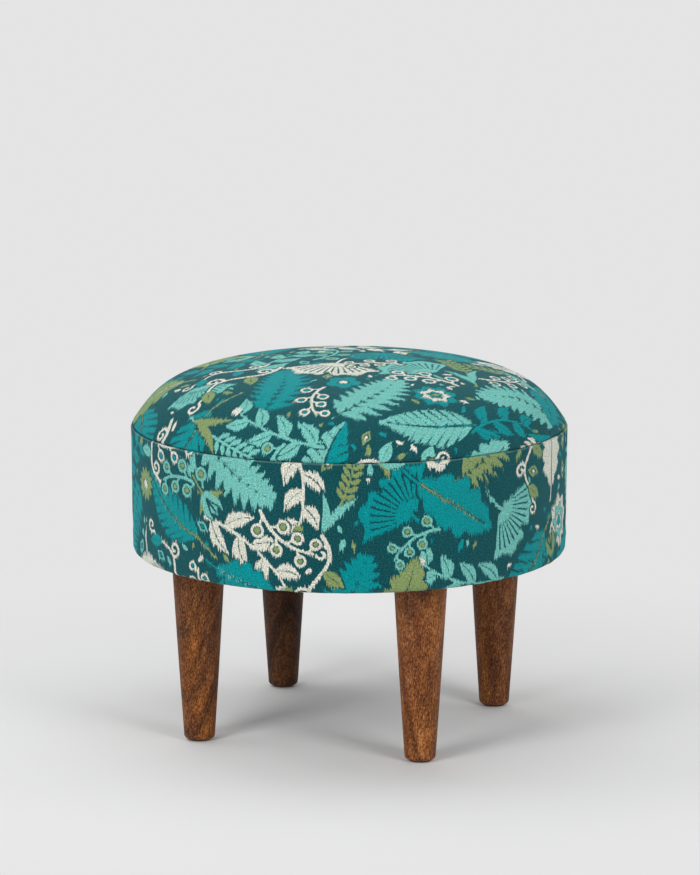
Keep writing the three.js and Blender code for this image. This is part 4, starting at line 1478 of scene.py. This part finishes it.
# One staple: three straight wires from the tip of a leg over the crown to the tip of the other
def stapleShape(tree, given):
    right = times(tree, given["Crown"], 0.5)
    left = times(tree, right, -1.0)
    corners = [joinUp(tree, y=side, z=up)
               for side, up in ((left, given["Leg"]), (left, 0.0), (right, 0.0), (right, given["Leg"]))]
    sockets = {"Resolution": staple["wireSides"], "Radius": given["Wire"]}
    section = addNode(tree, "GeometryNodeCurvePrimitiveCircle", sockets).outputs[0]
    joined = tree.nodes.new("GeometryNodeJoinGeometry")
    for start, end in reversed(list(zip(corners, corners[1:]))):
        line = addNode(tree, "GeometryNodeCurvePrimitiveLine", {"Start": start, "End": end}).outputs[0]
        sockets = {"Curve": line, "Profile Curve": section, "Fill Caps": True}
        bar = addNode(tree, "GeometryNodeCurveToMesh", sockets).outputs[0]
        tree.links.new(bar, joined.inputs[0])
    return joined.outputs[0]


# The places of the staples, the turn of each and how far it is off its place
def staplePlaces(tree, given):
    sockets = {"Vertices": given["Count"], "Radius": given["Radius"]}
    ring = addNode(tree, "GeometryNodeMeshCircle", sockets).outputs[0]
    sockets = {"Geometry": ring, "Translation": joinUp(tree, z=given["Height"])}
    placed = addNode(tree, "GeometryNodeTransform", sockets).outputs[0]
    position = splitUp(tree, addNode(tree, "GeometryNodeInputPosition").outputs[0])
    around = calc(tree, "ARCTAN2", position[1], position[0])
    sockets = {2: -staple["skew"], 3: staple["skew"], "Seed": given["Seed"]}
    skew = addNode(tree, "FunctionNodeRandomValue", sockets, data_type="FLOAT").outputs[1]
    far = staple["shift"]
    sockets = {0: (-far, -far, 0.0), 1: (far, far, 0.0), "Seed": given["Seed"]}
    shift = addNode(tree, "FunctionNodeRandomValue", sockets, data_type="FLOAT_VECTOR").outputs[0]
    return placed, joinUp(tree, z=plus(tree, around, skew)), shift


def stapleTree():
    tree = bpy.data.node_groups.new("staples", "GeometryNodeTree")
    for label, kind in (("Count", "Int"), ("Radius", "Float"), ("Height", "Float"), ("Crown", "Float"),
                        ("Leg", "Float"), ("Wire", "Float"), ("Seed", "Int")):
        tree.interface.new_socket(label, in_out="INPUT", socket_type="NodeSocket" + kind)
    tree.interface.new_socket("Geometry", in_out="OUTPUT", socket_type="NodeSocketGeometry")
    given = tree.nodes.new("NodeGroupInput").outputs
    placed, turn, shift = staplePlaces(tree, given)
    sockets = {"Points": placed, "Instance": stapleShape(tree, given), "Rotation": turn}
    points = addNode(tree, "GeometryNodeInstanceOnPoints", sockets).outputs[0]
    sockets = {"Instances": points, "Translation": shift, "Local Space": False}
    moved = addNode(tree, "GeometryNodeTranslateInstances", sockets).outputs[0]
    real = addNode(tree, "GeometryNodeRealizeInstances", {"Geometry": moved}).outputs[0]
    final = addNode(tree, "GeometryNodeSetMaterial", {"Geometry": real, "Material": zincPlate}).outputs[0]
    tree.links.new(final, tree.nodes.new("NodeGroupOutput").inputs[0])
    return tree


def makeStaples():
    tree = stapleTree()
    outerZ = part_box("dust_cover")[0].z
    values = {"Count": dust["staples"], "Radius": dust["stapleRadius"], "Height": outerZ - staple["lift"],
              "Crown": staple["crown"], "Leg": staple["leg"], "Wire": staple["wire"], "Seed": staple["seed"]}
    piece = newPiece("dust_cover_staples", [(0, 0, 0)], [], zincPlate, smooth=None)
    nodesIn = piece.modifiers.new("staples", "NODES")
    nodesIn.node_group = tree
    for socket in tree.interface.items_tree:
        if socket.in_out == "INPUT":
            nodesIn[socket.identifier] = values[socket.name]
    takeResult(piece)
    piece.data.shade_smooth()
    piece.data.set_sharp_from_angle(angle=math.radians(40))
    finishPiece(piece, "zinc_steel")


makeStaples()
print("staples made")


# What stays as the frame shows it takes its material here
innerLooks = {"base_board": plywood, "deck_board": plywood, "drum_wall": wallPly, "batten": softwood,
              "base_screw": screwZinc, "deck_screw": screwZinc, "hanger_bolt": boltZinc, "t_nut": zincPlate}
for name, node in nodes.items():
    for start, material in innerLooks.items():
        if name.startswith(start):
            node.data.materials.clear()
            node.data.materials.append(material)


# Floor and light: a pale sweep that keeps the soft shadow, softboxes all round it and a faint even room
studio = {
    "floor": 40.0, "albedo": 0.745, "room": 0.26, "distance": 2.6,
    "far": 0.776, "near": 0.22, "out": 0.80,    # the floor's tone far off, and where it fades into that
}
softboxes = {       # degrees from the camera's side and up, width and height in metres, power in watts
    "front_left": {"side": -40, "up": 30, "size": (0.8, 1.5), "power": 29.0},
    "front_right": {"side": 40, "up": 30, "size": (0.8, 1.5), "power": 23.5},
    "back": {"side": 180, "up": 20, "size": (3.6, 0.7), "power": 35.0},
    "high_left": {"side": -115, "up": 56, "size": (1.6, 0.9), "power": 14.5},
    "overhead": {"side": 180, "up": 80, "size": (1.2, 1.2), "power": 6.5},
    "high_right": {"side": 115, "up": 56, "size": (1.6, 0.9), "power": 8.0},
}


def makeFloor():
    half = studio["floor"] / 2
    material = bpy.data.materials.new("pale_floor")
    material.use_nodes = True
    tree = material.node_tree
    tree.nodes.clear()
    matt = addNode(tree, "ShaderNodeBsdfDiffuse", {"Color": (studio["albedo"],) * 3 + (1,)})
    glow = addNode(tree, "ShaderNodeEmission", {"Color": (studio["far"],) * 3 + (1,), "Strength": 1.0})
    away = addNode(tree, "ShaderNodeVectorMath", {0: objectPlace(tree)}, operation="LENGTH").outputs["Value"]
    sockets = {"Value": away, "From Min": studio["near"], "From Max": studio["out"]}
    fade = addNode(tree, "ShaderNodeMapRange", sockets, interpolation_type="SMOOTHSTEP").outputs[0]
    seen = addNode(tree, "ShaderNodeLightPath").outputs
    direct = calc(tree, "MAXIMUM", seen["Is Camera Ray"], seen["Is Glossy Ray"])
    sockets = {0: times(tree, fade, direct), 1: matt.outputs[0], 2: glow.outputs[0]}
    mixed = addNode(tree, "ShaderNodeMixShader", sockets).outputs[0]
    addNode(tree, "ShaderNodeOutputMaterial", {0: mixed})
    corners = [(-half, -half, 0), (half, -half, 0), (half, half, 0), (-half, half, 0)]
    floor = newPiece("floor", corners, [(0, 1, 2, 3)], material, smooth=None)


def makeSoftbox(name, plan):
    angle, up = math.radians(camera["azimuth"] + plan["side"]), math.radians(plan["up"])
    toLight = Vector((math.sin(angle) * math.cos(up), -math.cos(angle) * math.cos(up), math.sin(up)))
    data = bpy.data.lights.new(name, "AREA")
    data.shape = "RECTANGLE"
    data.size, data.size_y = plan["size"]
    data.energy = plan["power"]
    lamp = bpy.data.objects.new(name, data)
    lamp.location = toLight * studio["distance"]
    lamp.rotation_euler = toLight.to_track_quat("Z", "Y").to_euler()
    lamp.visible_camera = False
    bpy.context.scene.collection.objects.link(lamp)


def makeRoom():
    world = bpy.data.worlds.new("white_room")
    world.use_nodes = True
    background = world.node_tree.nodes["Background"].inputs
    background["Color"].default_value = (1, 1, 1, 1)
    background["Strength"].default_value = studio["room"]
    bpy.context.scene.world = world


makeFloor()
for name, plan in softboxes.items():
    makeSoftbox(name, plan)
makeRoom()
print("studio made")
